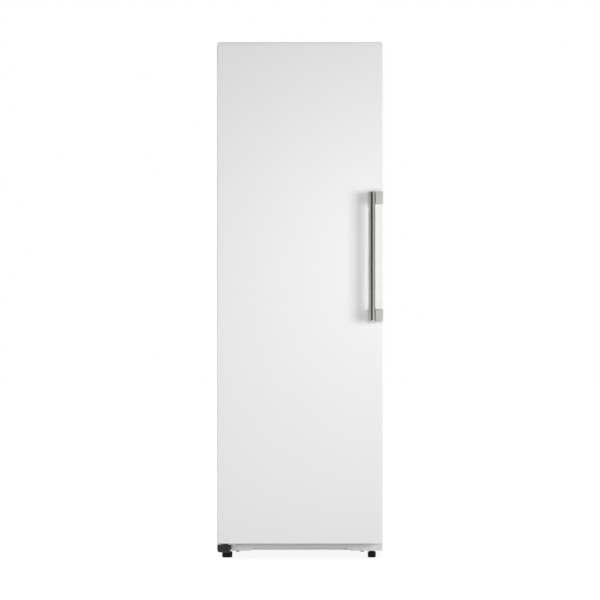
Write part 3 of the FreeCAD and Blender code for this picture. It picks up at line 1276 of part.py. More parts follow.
def make_flap(label, number):
    """Clear flap with a curled lower edge, hung on two pins near its top."""
    body = new_body(label, y="front_plane + front_sheet / 2",
                    z=f"cavity_floor + pitch * {number} - flap_pin_drop")
    low = "flap_pin_drop + front_gap / 2 - pitch"
    high = "flap_pin_drop - flap_drop"
    pad(body, "XZ", "-front_sheet / 2", "front_sheet / 2",
        rectangle("-drawer_side", low, "drawer_side", high, "front_gap"))
    pad(body, "YZ", "-drawer_side + drawer_corner", "drawer_side - drawer_corner",
        polygon(("-front_sheet / 2 - grip_reach", low, "front_sheet / 2"), ("front_sheet / 2", low),
                ("front_sheet / 2", f"{low} + front_sheet"),
                ("-front_sheet / 2 - grip_reach + front_sheet", f"{low} + front_sheet"),
                ("-front_sheet / 2 - grip_reach + front_sheet", f"{low} + grip_height"),
                ("-front_sheet / 2 - grip_reach", f"{low} + grip_height")))
    pin = pad(body, "YZ", "drawer_side - front_sheet", "cavity_side - fit_gap",
              circle("0", "0", "flap_pin / 2"))
    mirror(body, [pin])


# ---- hinges, feet and rollers ---------------------------------------------

def make_top_hinge():
    """Top hinge: a plate on the cabinet, an arm over the gap and a pin down into the door."""
    body = new_body("top_hinge")
    nose = "hinge_nose - fit_gap"
    base_back = "face + hinge_base_depth"
    base_right = "hinge_x - hinge_nose + hinge_base_width"
    pad(body, "XY", "top", "top + hinge_plate",
        polygon(("hinge_x - hinge_nose", "hinge_y - hinge_nose", nose),
                ("hinge_x + hinge_nose", "hinge_y - hinge_nose", nose),
                ("hinge_x + hinge_nose", "face + hinge_nose", "hinge_plate"),
                (base_right, "face + hinge_nose", "hinge_nose / 2"),
                (base_right, base_back, "hinge_nose / 2"),
                ("hinge_x - hinge_nose", base_back, "hinge_nose / 2")))
    pad(body, "XY", "top - bush_flange - hinge_pin_length", "top",
        circle("hinge_x", "hinge_y", "hinge_pin / 2"))
    pocket(body, "XY", "top - sheet", "top + hinge_plate + sheet",
           *[circle(x, y, "handle_screw / 2 + fit_gap") for x, y in top_hinge_screws()])


def top_hinge_screws():
    """Where the top hinge is screwed to the cabinet."""
    right_column = "hinge_x - 2 * hinge_nose + hinge_base_width"
    front_row, back_row = "face + 2 * hinge_nose", "face + hinge_base_depth - hinge_nose"
    return [("hinge_x", back_row), (right_column, front_row), (right_column, back_row)]


def make_top_hinge_cover():
    """Moulded cover over the top hinge, open below and in front for the arm."""
    body = new_body("top_hinge_cover")
    left_side, right_side = "left + fit_gap", "hinge_x + hinge_base_width"
    front, rear = "face + sheet", "face + hinge_base_depth + hinge_nose"
    block = pad(body, "XY", "top", "top + hinge_cover_height",
                rectangle(left_side, front, right_side, rear))
    fillet(body, block, rim_edges(block, "z", "top + hinge_cover_height")
           + edges_along(block, "z", x=right_side, y=front)
           + edges_along(block, "z", x=right_side, y=rear), "2 * moulding")
    wall = "frame_sheet"
    pocket(body, "XY", "top", f"top + hinge_cover_height - {wall} * 2",
           rectangle(f"{left_side} + {wall}", f"{front} + {wall}", f"{right_side} - {wall}",
                     f"{rear} - {wall}", "moulding"))
    pocket(body, "XZ", f"{front} - sheet", f"{front} + 2 * {wall}",
           rectangle("hinge_x - hinge_nose - fit_gap", "top - sheet", "hinge_x + hinge_nose + fit_gap",
                     "top + hinge_plate + fit_gap"))


def make_bottom_hinge():
    """Bottom hinge: a plate on the cross member, an arm and a pin up into the door."""
    body = new_body("bottom_hinge")
    nose = "hinge_nose - fit_gap"
    plate_right = "cover_right - moulding - fit_gap"
    pad(body, "XY", "lower_arm_base", "lower_arm_top",
        polygon(("hinge_x - hinge_nose", "hinge_y - hinge_nose", nose),
                ("hinge_x + hinge_nose", "hinge_y - hinge_nose", nose),
                ("hinge_x + hinge_nose", "face"), ("hinge_x - hinge_nose", "face")))
    pad(body, "XZ", "face - hinge_plate", "face",
        rectangle("hinge_x - hinge_nose", "pan_top", plate_right, "lower_arm_top", "hinge_plate / 2"))
    pad(body, "XY", "lower_arm_top", "door_bottom + hinge_pin_length",
        circle("hinge_x", "hinge_y", "hinge_pin / 2"))
    pocket(body, "XZ", "face - 2 * hinge_plate", "face + hinge_plate",
           *[circle(x, z, "handle_screw / 2 + fit_gap") for x, z in bottom_hinge_screws()])


def bottom_hinge_screws():
    """Where the bottom hinge is screwed to the front cross member."""
    level = "(pan_top + lower_arm_base) / 2"
    return [("hinge_x", level), ("cover_right - hinge_nose", level)]


def make_bottom_hinge_cover():
    """Dark cap in front of the bottom hinge, open above for the arm."""
    body = new_body("bottom_hinge_cover")

    def outline(inset):
        """The cap seen from the front, drawn in by its wall."""
        return polygon((f"left + {inset}", f"foot_height + {inset}", f"lower_cover_corner - {inset}"),
                       (f"cover_right - {inset}", f"foot_height + {inset}", "moulding"),
                       (f"cover_right - {inset}", "lower_cover_top"), (f"left + {inset}", "lower_cover_top"))
    block = pad(body, "XZ", "cover_front", "face - fit_gap", outline("0"))
    fillet(body, block, edges_along(block, "z", x="left", y="cover_front")
           + edges_along(block, "z", x="cover_right", y="cover_front"), "moulding")
    pocket(body, "XZ", "cover_front + moulding", "face",
           rectangle("hinge_x - hinge_nose - fit_gap", "foot_height + moulding",
                     "cover_right - moulding", "lower_cover_top + sheet", "frame_sheet"))


def make_foot(label, x, diameter):
    """Levelling foot: a rounded pad with a neck and a stud up through the cross member."""
    body = new_body(label, x=x, y="foot_y")
    radius = f"{diameter} / 2"
    revolve(body, "XZ", "Z",
            polygon(("0", "0"), (radius, "0", "foot_edge"), (radius, "foot_pad", "foot_edge"),
                    ("foot_neck / 2", "foot_height", "sheet"), ("foot_stud / 2", "foot_height"),
                    ("foot_stud / 2", "stud_end - sheet"), ("foot_stud / 2 - sheet", "stud_end"),
                    ("0", "stud_end")))


def make_roller(label, x):
    """Rear roller with a crowned tread, on its axle."""
    body = new_body(label, x=x, y="roller_y", z="roller_diameter / 2")
    half, tread, bore = "roller_width / 2", "roller_diameter / 2", "roller_axle / 2 + shaft_gap"
    revolve(body, "XY", "X",
            polygon((f"-({half})", bore), (f"-({half})", f"{bore} + frame_sheet"),
                    (f"-({half}) + frame_sheet", f"{tread} - 2 * roller_rim"),
                    (f"-({half})", f"{tread} - roller_rim"), (f"-({half})", tread, "frame_sheet"),
                    (half, tread, "frame_sheet"), (half, f"{tread} - roller_rim"),
                    (f"{half} - frame_sheet", f"{tread} - 2 * roller_rim"),
                    (half, f"{bore} + frame_sheet"), (half, bore)))


def make_roller_axles():
    """Axle pins of both rear rollers, held by the pan's brackets."""
    body = new_body("roller_axles", y="roller_y", z="roller_diameter / 2")
    end = "(roller_width / 2 + 3 * frame_sheet)"
    axle = pad(body, "YZ", f"roller_x - {end}", f"roller_x + {end}", circle("0", "0", "roller_axle / 2"))
    mirror(body, [axle])


# ---- door -----------------------------------------------------------------

def make_door_skin():
    """Door skin: one folded sheet with rounded front edges and returns at the back."""
    body = new_body("door_skin")
    inner = "door_edge - sheet"
    pad(body, "XY", "door_bottom", "seam",
        polygon(("left", "door_front", "door_edge"), ("right", "door_front", "door_edge"),
                ("right", "door_back"), ("right - door_return", "door_back"),
                ("right - door_return", "flange_back"), ("right - sheet", "flange_back"),
                ("right - sheet", "door_front + sheet", inner), ("left + sheet", "door_front + sheet", inner),
                ("left + sheet", "flange_back"), ("left + door_return", "flange_back"),
                ("left + door_return", "door_back"), ("left", "door_back")))
    pocket(body, "XY", "recess_floor", "seam + sheet",
           rectangle("left - sheet", "recess_wall", "recess_side", "door_back + sheet"))


def make_door_foam():
    """Foam that fills the door and the raised middle of its inner liner."""
    body = new_body("door_foam")
    side = "right - sheet"
    pad(body, "XY", "door_bottom + bottom_cap", "cap_floor",
        polygon((f"-({side})", "door_front + sheet", "door_edge - sheet"),
                (side, "door_front + sheet", "door_edge - sheet"), (side, "flange_front"),
                (f"-({side})", "flange_front")))
    wall = "liner_sheet"
    pad(body, "XZ", "flange_front", f"raise_face - {wall}",
        rectangle(f"-raise_side + {wall}", f"raise_bottom + {wall}", f"raise_side - {wall}",
                  f"raise_top - {wall}", f"raise_corner - {wall}"))
    pocket(body, "XZ", f"raise_face - field_depth - {wall}", "raise_face", field_outline("liner_sheet"))


def field_outline(grow):
    """The shallow field in the middle of the inner door liner, grown by a wall."""
    return rectangle(f"-raise_side + field_inset - {grow}", f"raise_bottom + field_inset - {grow}",
                     f"raise_side - field_inset + {grow}", f"raise_top - field_inset + {grow}",
                     f"raise_corner - field_depth + {grow}")


def make_door_liner():
    """Inner door liner: a flange and a raised middle, which frames a shallow field."""
    body = new_body("door_liner")
    wall = "liner_sheet"
    pad(body, "XZ", "flange_front", "flange_back",
        rectangle("-skin_side", "door_bottom + sheet", "skin_side", "recess_floor - fit_gap"))
    raised = pad(body, "XZ", "flange_back", "raise_face",
                 rectangle("-raise_side", "raise_bottom", "raise_side", "raise_top", "raise_corner"))
    fillet(body, raised, rim_edges(raised, "y", "raise_face"), "door_raise / 3")
    hollow = rectangle(f"-raise_side + {wall}", f"raise_bottom + {wall}", f"raise_side - {wall}",
                       f"raise_top - {wall}", f"raise_corner - {wall}")
    field_back = f"raise_face - field_depth - {wall}"
    pocket(body, "XZ", "flange_front - sheet", field_back, hollow)
    pocket(body, "XZ", field_back, f"raise_face - {wall}", hollow, field_outline("liner_sheet"))
    pocket(body, "XZ", "raise_face - field_depth", "raise_face + sheet", field_outline("0"))


def make_door_gasket():
    """Magnetic gasket: one ring, folded along its middle, round the inner liner."""
    body = new_body("door_gasket")
    outer_side = "right - hinge_inset"
    outer_bottom, outer_top = "underside + member_height - gasket_width + liner_sheet", "top - hinge_inset"

    def ring(inset):
        """The ring's outline, drawn in all round."""
        return rectangle(f"-({outer_side}) + {inset}", f"{outer_bottom} + {inset}",
                         f"{outer_side} - {inset}", f"{outer_top} - {inset}")
    pad(body, "XZ", "flange_back", "face - gasket_play", ring("0"), ring("gasket_width"))
    pocket(body, "XZ", "(flange_back + face) / 2 - gasket_groove / 2", "face",
           ring("gasket_fold"), ring("gasket_width + sheet"))


def make_door_top_cap():
    """Top cap of the door, rounded at its corners, with the hinge recess and bush bore."""
    body = new_body("door_top_cap")
    inner_side = "skin_side"
    pad(body, "XZ", "door_front + sheet + fit_gap", "flange_front - fit_gap",
        rectangle(f"-{inner_side}", "cap_floor", inner_side, "seam"))
    crown = pad(body, "XZ", "door_front", "door_back",
                polygon(("left", "seam"), ("right", "seam"), ("right", "body_height", "door_corner"),
                        ("left", "body_height", "door_corner")))
    front_rim = [name for name in rim_edges(crown, "y", "door_front")
                 if name not in edges_along(crown, "x", y="door_front", z="seam")]
    fillet(body, crown, front_rim, "cap_edge")
    pocket(body, "XY", "recess_floor", "body_height + sheet",
           rectangle("left - sheet", "recess_wall", "recess_side", "door_back + sheet"))
    inner = "door_edge - sheet"
    pocket(body, "XY", "cap_floor - sheet", "seam",
           *[polygon((f"{sign}skin_side", "door_front + sheet + fit_gap"),
                     (f"{sign}(skin_side - ({inner}))", "door_front + sheet + fit_gap"),
                     (f"{sign}skin_side", "door_front + sheet + fit_gap + " + inner))
             for sign in ("", "-")])
    pocket(body, "XY", "cap_floor - sheet", "recess_floor + sheet",
           circle("hinge_x", "hinge_y", "hinge_pin / 2 + bush_wall"))


def make_door_bottom_cap():
    """Bottom cap inside the door skin, with the bush bore."""
    body = new_body("door_bottom_cap")
    corner = "door_edge - sheet"
    pad(body, "XY", "door_bottom", "door_bottom + bottom_cap",
        polygon(("-skin_side", "door_front + sheet + fit_gap", corner),
                ("skin_side", "door_front + sheet + fit_gap", corner),
                ("skin_side", "flange_front - fit_gap"), ("-skin_side", "flange_front - fit_gap")))
    pocket(body, "XY", "door_bottom - sheet", "door_bottom + bottom_cap + sheet",
           circle("hinge_x", "hinge_y", "hinge_pin / 2 + bush_wall"))


def make_hinge_bushes():
    """Flanged bushes in the caps, one for each hinge pin."""
    outer, bore = "hinge_pin / 2 + bush_wall", "hinge_pin / 2 + shaft_gap"
    body = new_body("hinge_bushes", x="hinge_x", y="hinge_y")
    for low, high, radius in (
            ("door_bottom", "door_bottom + bottom_cap", outer),
            ("door_bottom - 2 * bush_flange", "door_bottom", f"{outer} + bush_wall"),
            ("cap_floor", "recess_floor", outer),
            ("recess_floor", "recess_floor + bush_flange", f"{outer} + bush_wall")):
        pad(body, "XY", low, high, circle("0", "0", radius), circle("0", "0", bore))


def make_door_stop():
    """White stop block under the door beside the bottom hinge."""
    body = new_body("door_stop", x="stop_left", y="hinge_y")
    block = pad(body, "XY", "door_bottom - stop_drop", "door_bottom",
                rectangle("0", "-stop_reach", "stop_width", "stop_depth - stop_reach", "moulding"))
    fillet(body, block, rim_edges(block, "z", "door_bottom - stop_drop"), "sheet")


def make_handle_bar():
    """Brushed bar with a rounded front and a flat back."""
    body = new_body("handle_bar")
    pad(body, "XY", "handle_bottom", "handle_top",
        polygon(("bar_left", "handle_front", "bar_round"), ("bar_right", "handle_front", "bar_round"),
                ("bar_right", "bar_back", "bar_back_round"), ("bar_left", "bar_back", "bar_back_round")))
    screw_x = "(bar_left + bar_right) / 2"
    for level in handle_screw_levels():
        pocket(body, "XZ", "bar_back - bar_depth / 2", "bar_back + sheet",
               circle(screw_x, level, "handle_screw / 2 + shaft_gap"))


def handle_screw_levels():
    """Heights of the screws that hold the bar to its brackets."""
    return [f"{end} {sign} ({inset})"
            for end, sign in (("handle_bottom", "+"), ("handle_top", "-"))
            for inset in ("bracket_screw", "bracket_height - bracket_screw")]


def make_handle_brackets():
    """Two brackets that stand on the door and reach behind the bar."""
    body = new_body("handle_brackets")
    waist = "bar_right + frame_sheet"
    outline = polygon(
        ("bracket_right", "door_front"), ("bracket_right", "bracket_front", "bracket_round"),
        (waist, "bracket_front"), (waist, "bar_back"), ("bar_left + bracket_tongue", "bar_back"),
        ("bar_left + bracket_tongue", "bar_back + bracket_tongue", "tongue_round"),
        (waist, "bar_back + bracket_tongue", "bracket_round"), (waist, "door_front"))
    for start, end, facing in (
            ("handle_bottom", "handle_bottom + bracket_height", "handle_bottom + bracket_height"),
            ("handle_top - bracket_height", "handle_top", "handle_top - bracket_height")):
        bracket = pad(body, "XY", start, end, outline)
        fillet(body, bracket, edges_along(bracket, "x", y="bracket_front", z=facing),
               "bracket_end_round")
    screw_x = "(bar_left + bar_right) / 2"
    pocket(body, "XZ", "bar_back - sheet", "bar_back + bracket_tongue + sheet",
           *[circle(screw_x, level, "handle_screw / 2 + shaft_gap") for level in handle_screw_levels()])


# ---- small pieces ---------------------------------------------------------

def make_screws(label, places):
    """Pan-head screws as one sub-part; each place is (x, y, z, shank, axis, sign of the shank)."""
    members = []
    for number, (x, y, z, shank, axis, sign) in enumerate(places, 1):
        turn = {"z": VECTOR(0, 0, 1), "y": VECTOR(0, 1, 0)}[axis] * sign
        pieces = []
        for name, radius, length, start in (
                ("Head", "screw_head / 2", "screw_head_height", "-screw_head_height"),
                ("Shank", "handle_screw / 2", shank, "0")):
            cylinder = DOC.addObject("Part::Cylinder", f"{label}{name}{number}")
            cylinder.setExpression("Radius", qualified(radius))
            cylinder.setExpression("Height", qualified(length))
            cylinder.Placement.Rotation = FreeCAD.Rotation(VECTOR(0, 0, 1), turn)
            for along, place in zip("xyz", (x, y, z)):
                shift = f" + ({start}) * {sign}" if along == axis else ""
                cylinder.setExpression(f"Placement.Base.{along}", qualified(f"{place}{shift}"))
            pieces.append(cylinder)
        screw = DOC.addObject("Part::Fuse", f"{label}{number}")
        screw.Base, screw.Tool = pieces
        members.append(screw)
    compound(label, members)


def make_cabinet_screws():
    """Screws of both hinges, the rear cover and the compressor's feet."""
    places = [(x, y, "top + hinge_plate", "hinge_plate", "z", -1) for x, y in top_hinge_screws()]
    places += [(x, "face - hinge_plate", z, "hinge_plate", "y", 1) for x, z in bottom_hinge_screws()]
    places += [(x, "cover_back", z, "moulding", "y", -1) for x, z in bay_cover_screws()]
    foot_x = "compressor_foot_span / 2 - grommet_diameter / 2"
    foot_y = "compressor_foot_depth / 2 - grommet_diameter / 2"
    places += [(f"compressor_place {x_sign} ({foot_x})", f"bay_middle {y_sign} ({foot_y})",
                "compressor_base + frame_sheet * 2", "grommet_height + frame_sheet * 2", "z", -1)
               for x_sign in "+-" for y_sign in "+-"]
    make_screws("cabinet_screws", places)


def make_handle_screws():
    """Screws from behind through the brackets into the handle bar."""
    places = [("(bar_left + bar_right) / 2", "bar_back + bracket_tongue", level,
               "bracket_tongue + bar_depth / 2 - fit_gap", "y", -1) for level in handle_screw_levels()]
    make_screws("handle_screws", places)


def make_rear_spacers():
    """Ribbed wall spacers on the back of the cabinet."""
    body = new_body("rear_spacers", z="spacer_level")
    base = pad(body, "XZ", "back", "back + moulding", circle("spacer_place", "0", "spacer_diameter / 2"))
    stem = pad(body, "XZ", "back + moulding", "wall", circle("spacer_place", "0", "spacer_stem / 2"))
    rounded = fillet(body, stem, rim_edges(stem, "y", "wall"), "moulding")
    mirror(body, [base, stem, rounded])


def make_cord_gland():
    """Rubber gland in the rear cover where the supply cord would enter."""
    body = new_body("cord_gland", x="gland_place", z="gland_height")
    bore = circle("0", "0", "gland_bore / 2")
    pad(body, "XZ", "cover_back", "cover_back + gland_reach", circle("0", "0", "gland_diameter / 2"), bore)
    pad(body, "XZ", "cover_back - moulding", "cover_back",
        circle("0", "0", "gland_diameter / 2 - moulding"), bore)
    pad(body, "XZ", "cover_back - 2 * moulding", "cover_back - moulding",
        circle("0", "0", "gland_diameter / 2"), bore)


# ---- the whole freezer ----------------------------------------------------

def build():
    """Make every sub-part in the order in which the freezer is put together."""
    fill_sheet()
    make_outer_shell()
    make_back_panel()
    make_cabinet_foam()
    make_inner_liner()
    make_front_cross_member()
    make_cross_member_plugs()
    make_kick_plate()
    make_base_pan()
    make_bay_cover()
    make_compressor()
    make_compressor_grommets()
    make_relay_box()
    make_evaporating_tray()
    make_filter_drier()
    make_copper_lines()
    make_condenser_coils()
    make_evaporator_coil()
    make_evaporator_fins()
    make_defrost_heater()
    make_drip_trough()
    make_duct_panel()
    make_fan_motor()
    make_fan_blades()
    make_shelves()
    make_control_panel()
    make_ceiling_lamp()
    make_temperature_knob()
    make_fast_freeze_button()
    for number in range(1, DRAWER_COUNT + 1):
        make_drawer(number)
    make_flap("flap_lower", DRAWER_COUNT + 1)
    make_flap("flap_upper", DRAWER_COUNT + 2)
    make_top_hinge()
    make_top_hinge_cover()
    make_bottom_hinge()
    make_bottom_hinge_cover()
    make_foot("front_foot_left", "left_foot_x", "left_foot_diameter")
    make_foot("front_foot_right", "right_foot_x", "right_foot_diameter")
    make_roller("rear_roller_left", "-roller_x")
    make_roller("rear_roller_right", "roller_x")
    make_roller_axles()
    make_door_skin()
    make_door_foam()
    make_door_liner()
    make_door_gasket()
    make_door_top_cap()
    make_door_bottom_cap()
    make_hinge_bushes()
    make_door_stop()
    make_handle_bar()
    make_handle_brackets()
    make_handle_screws()
    make_cabinet_screws()
    make_rear_spacers()
    make_cord_gland()
    DOC.recompute()


def check_features():
    """Stop on a feature that failed, or on a pocket that cut nothing away."""
    for item in DOC.Objects:
        if {"Invalid", "Error"} & set(item.State):
            raise RuntimeError(f"{item.Name} ({item.Label}) failed")
        if item.TypeId == "PartDesign::Pocket" and item.BaseFeature is not None:
            if item.BaseFeature.Shape.Volume - item.Shape.Volume < TOLERANCE:
                raise RuntimeError(f"{item.Name} in {item.getParent().Label} cuts nothing")


def export():
    """Check each sub-part's shape and write it to its own file."""
    os.makedirs(OUT_DIR, exist_ok=True)
    for subpart in SUBPARTS:
        if subpart.Shape.isNull() or not subpart.Shape.isValid():
            raise RuntimeError(f"{subpart.Label} has no valid shape")
        subpart.Shape.exportStep(os.path.join(OUT_DIR, subpart.Label + ".step"))


build()
check_features()
export()
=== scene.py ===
"""Upright freezer: finishes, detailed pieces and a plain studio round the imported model.

Metres, in the model's own frame: +Z up, the door faces -Y, the floor is Z = 0.
"""
import json
import math

import bmesh
import bpy
import numpy as np
from bpy.props import FloatProperty, FloatVectorProperty, IntProperty, PointerProperty
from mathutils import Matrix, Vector


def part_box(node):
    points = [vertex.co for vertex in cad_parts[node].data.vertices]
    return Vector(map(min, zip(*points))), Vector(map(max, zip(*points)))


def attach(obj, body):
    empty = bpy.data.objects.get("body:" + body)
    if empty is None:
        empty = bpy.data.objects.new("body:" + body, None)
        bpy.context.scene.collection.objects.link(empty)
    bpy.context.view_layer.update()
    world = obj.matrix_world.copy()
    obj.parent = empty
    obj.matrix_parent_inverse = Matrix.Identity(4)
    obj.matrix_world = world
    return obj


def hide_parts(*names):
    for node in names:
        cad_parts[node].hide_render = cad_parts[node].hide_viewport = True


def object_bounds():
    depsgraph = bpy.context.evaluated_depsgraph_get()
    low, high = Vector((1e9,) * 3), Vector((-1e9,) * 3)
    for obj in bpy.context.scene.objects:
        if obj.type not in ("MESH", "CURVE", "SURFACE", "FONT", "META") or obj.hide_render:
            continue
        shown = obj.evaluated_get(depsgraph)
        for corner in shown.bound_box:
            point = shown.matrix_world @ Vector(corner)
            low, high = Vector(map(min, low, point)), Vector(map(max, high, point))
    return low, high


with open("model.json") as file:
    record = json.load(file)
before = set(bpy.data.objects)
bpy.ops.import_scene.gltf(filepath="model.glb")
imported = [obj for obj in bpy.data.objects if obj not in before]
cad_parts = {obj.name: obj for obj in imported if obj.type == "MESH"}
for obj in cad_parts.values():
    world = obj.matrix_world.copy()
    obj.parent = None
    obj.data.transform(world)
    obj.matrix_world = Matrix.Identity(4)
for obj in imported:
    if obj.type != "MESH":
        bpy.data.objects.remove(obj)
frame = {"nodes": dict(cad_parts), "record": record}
CAD_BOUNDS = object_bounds()

bl_info = {
    "name": "Upright freezer",
    "version": (1, 0, 0),
    "blender": (4, 5, 0),
    "location": "3D View > Sidebar > Freezer",
    "description": "Finishes and detailed pieces of an upright freezer",
    "category": "Object",
}

MM = 0.001
QUARTER = math.pi / 2
FULL = 2 * math.pi


def linear(hex_colour):
    """An sRGB hex colour as linear red, green and blue."""
    shares = [int(hex_colour[start:start + 2], 16) / 255 for start in (1, 3, 5)]
    return tuple(share / 12.92 if share <= 0.04045 else ((share + 0.055) / 1.055) ** 2.4
                 for share in shares)


# ---- sizes and colours that a user would change ---------------------------------

class FreezerSizes(bpy.types.PropertyGroup):
    """Sizes of the pieces made here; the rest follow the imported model."""
    bar_end_round: FloatProperty(
        name="Bar end rounding", description="Rounding of the handle bar's ends",
        default=2.2 * MM, unit="LENGTH")
    edge_bevel: FloatProperty(
        name="Edge rounding", description="Rounding of the moulded and folded edges",
        default=0.7 * MM, unit="LENGTH")
    bellows_depth: FloatProperty(
        name="Bellows depth", description="Depth of the gasket's folds",
        default=3.0 * MM, unit="LENGTH")
    rib_count: IntProperty(
        name="Ribs", description="Ribs across each drawer front and flap", default=3, min=0)
    rib_spacing: FloatProperty(
        name="Rib spacing", description="From one rib to the next", default=12 * MM, unit="LENGTH")
    foot_flutes: IntProperty(
        name="Foot flutes", description="Grip flutes round each levelling foot", default=18, min=3)


class FreezerColours(bpy.types.PropertyGroup):
    """Base colours of the finishes."""
    enamel: FloatVectorProperty(
        name="Enamel", description="White of the coated steel door and cabinet",
        subtype="COLOR", default=linear("#EFEFEF"))
    moulded_white: FloatVectorProperty(
        name="Moulded white", description="White of the caps, trims and housings",
        subtype="COLOR", default=linear("#E9E9E7"))
    liner: FloatVectorProperty(
        name="Liner", description="White of the vacuum-formed liners",
        subtype="COLOR", default=linear("#EDEFF0"))
    steel: FloatVectorProperty(
        name="Handle steel", description="Brushed stainless steel of the bar",
        subtype="COLOR", default=linear("#BDBAB7"))
    bracket: FloatVectorProperty(
        name="Handle brackets", description="Satin paint of the brackets",
        subtype="COLOR", default=linear("#C4C4C4"))
    dark: FloatVectorProperty(
        name="Dark mouldings", description="Lower hinge cover, rear cover, relay box and bushes",
        subtype="COLOR", default=linear("#1E1E1F"))


# ---- finishes -------------------------------------------------------------------

def add_node(tree, kind, inputs=None, **settings):
    """Adds a node to a tree with its settings, and its inputs as values or as links."""
    made = tree.nodes.new(kind)
    for name, setting in settings.items():
        setattr(made, name, setting)
    for name, source in (inputs or {}).items():
        if isinstance(source, bpy.types.NodeSocket):
            tree.links.new(source, made.inputs[name])
        else:
            made.inputs[name].default_value = source
    return made


def opaque(colour):
    """A colour with full alpha."""
    return (*colour[:3], 1.0)


def new_material(name):
    """An empty material with its tree and its main shader."""
    material = bpy.data.materials.new(name)
    material.use_nodes = True
    tree = material.node_tree
    tree.nodes.clear()
    shader = add_node(tree, "ShaderNodeBsdfPrincipled")
    add_node(tree, "ShaderNodeOutputMaterial", {"Surface": shader.outputs["BSDF"]})
    return material, tree, shader


def shaded(tree, pattern, colour, dark, light):
    """A colour whose brightness a pattern from 0 to 1 turns from dark to light."""
    share = add_node(tree, "ShaderNodeMapRange",
                     {"Value": pattern, "To Min": dark, "To Max": light}).outputs["Result"]
    grey = add_node(tree, "ShaderNodeCombineColor", {"Red": share, "Green": share, "Blue": share})
    return add_node(tree, "ShaderNodeMix", {"Factor": 1.0, 6: opaque(colour), 7: grey.outputs[0]},
                    data_type="RGBA", blend_type="MULTIPLY").outputs[2]


def textured(name, colour, size, roughness=None, tone=None, relief=None, detail=2.0, stretch=None,
             fixed=None):
    """A material with a noise whose lumps are size metres across, drawn out along an axis by stretch.

    The noise turns the roughness and the colour's brightness, its tone, each from one value to
    another, and raises the surface by relief metres. Fixed holds other inputs of the main shader.
    """
    material, tree, shader = new_material(name)
    place = add_node(tree, "ShaderNodeTexCoord").outputs["Object"]
    if stretch is not None:
        place = add_node(tree, "ShaderNodeMapping", {"Vector": place, "Scale": stretch}).outputs[0]
    noise = add_node(tree, "ShaderNodeTexNoise",
                     {"Vector": place, "Scale": 1 / size, "Detail": detail}).outputs["Fac"]
    for socket, setting in {"Base Color": opaque(colour), **(fixed or {})}.items():
        shader.inputs[socket].default_value = setting
    if tone is not None:
        tree.links.new(shaded(tree, noise, colour, *tone), shader.inputs["Base Color"])
    if roughness is not None:
        gloss = add_node(tree, "ShaderNodeMapRange",
                         {"Value": noise, "To Min": roughness[0], "To Max": roughness[1]})
        tree.links.new(gloss.outputs["Result"], shader.inputs["Roughness"])
    if relief is not None:
        bump = add_node(tree, "ShaderNodeBump", {"Height": noise, "Distance": relief})
        tree.links.new(bump.outputs["Normal"], shader.inputs["Normal"])
    return material, tree, shader, noise


def enamelled_steel(colour):
    """Coil-coated sheet steel: smooth and satin, with the faint peel of a baked coat."""
    # The peel of a sprayed coat has lumps about 2 mm across and a few micrometres high.
    material, tree, shader, _ = textured(
        "enamelled_steel", colour, 2.2 * MM, (0.34, 0.42), relief=0.006 * MM, detail=1.5,
        fixed={"Coat Weight": 0.25, "Coat Roughness": 0.16, "IOR": 1.5})
    # Rolled sheet is never quite flat: swells a hand wide bend the reflections a little.
    place = add_node(tree, "ShaderNodeTexCoord").outputs["Object"]
    swell = add_node(tree, "ShaderNodeTexNoise",
                     {"Vector": place, "Scale": 1 / (180 * MM), "Detail": 1.0})
    peel = shader.inputs["Normal"].links[0].from_socket
    waves = add_node(tree, "ShaderNodeBump",
                     {"Height": swell.outputs["Fac"], "Distance": 0.12 * MM, "Normal": peel})
    tree.links.new(waves.outputs["Normal"], shader.inputs["Normal"])
    return material


def moulded_plastic(name, colour, roughness, grain=0.8, relief=0.012, shine=0.5):
    """Injection-moulded plastic: an eroded mould leaves a fine, even grain."""
    # The grain is drawn at 0.8 or 1 mm, about twice its real size, so that it can show.
    return textured(name, colour, grain * MM, (roughness - 0.05, roughness + 0.06),
                    relief=relief * MM, detail=3.0,
                    fixed={"IOR": 1.53, "Specular IOR Level": shine})[0]


def vacuum_formed(colour):
    """Vacuum-formed polystyrene: glossy, softly uneven where it was drawn over the tool."""
    # The drawn sheet swells by a few hundredths of a millimetre over some 90 mm.
    return textured("vacuum_formed_polystyrene", colour, 90 * MM, (0.30, 0.36), relief=0.06 * MM,
                    detail=1.0, fixed={"IOR": 1.59})[0]


def brushed_steel(colour):
    """Brushed stainless steel: fine scratches along the bar, which stretch its highlights."""
    # Belt grit leaves scratches about 0.3 mm apart and some 60 mm long along Z.
    material, tree, shader, _ = textured(
        "brushed_stainless_steel", colour, 0.35 * MM, (0.15, 0.23), (0.94, 1.04), 0.004 * MM,
        stretch=(1.0, 1.0, 0.006), fixed={"Metallic": 1.0, "Anisotropic": 0.55})
    tangent = add_node(tree, "ShaderNodeTangent", direction_type="RADIAL", axis="Z")
    tree.links.new(tangent.outputs[0], shader.inputs["Tangent"])
    return material


def satin_paint(name, colour):
    """Satin paint on a casting, with a faint metal fleck."""
    # Flecks of a metallic paint are drawn at 0.6 mm, coarser than real ones, to show at all.
    return textured(name, colour, 0.6 * MM, (0.34, 0.43), (0.95, 1.05), 0.004 * MM,
                    fixed={"Metallic": 0.35})[0]


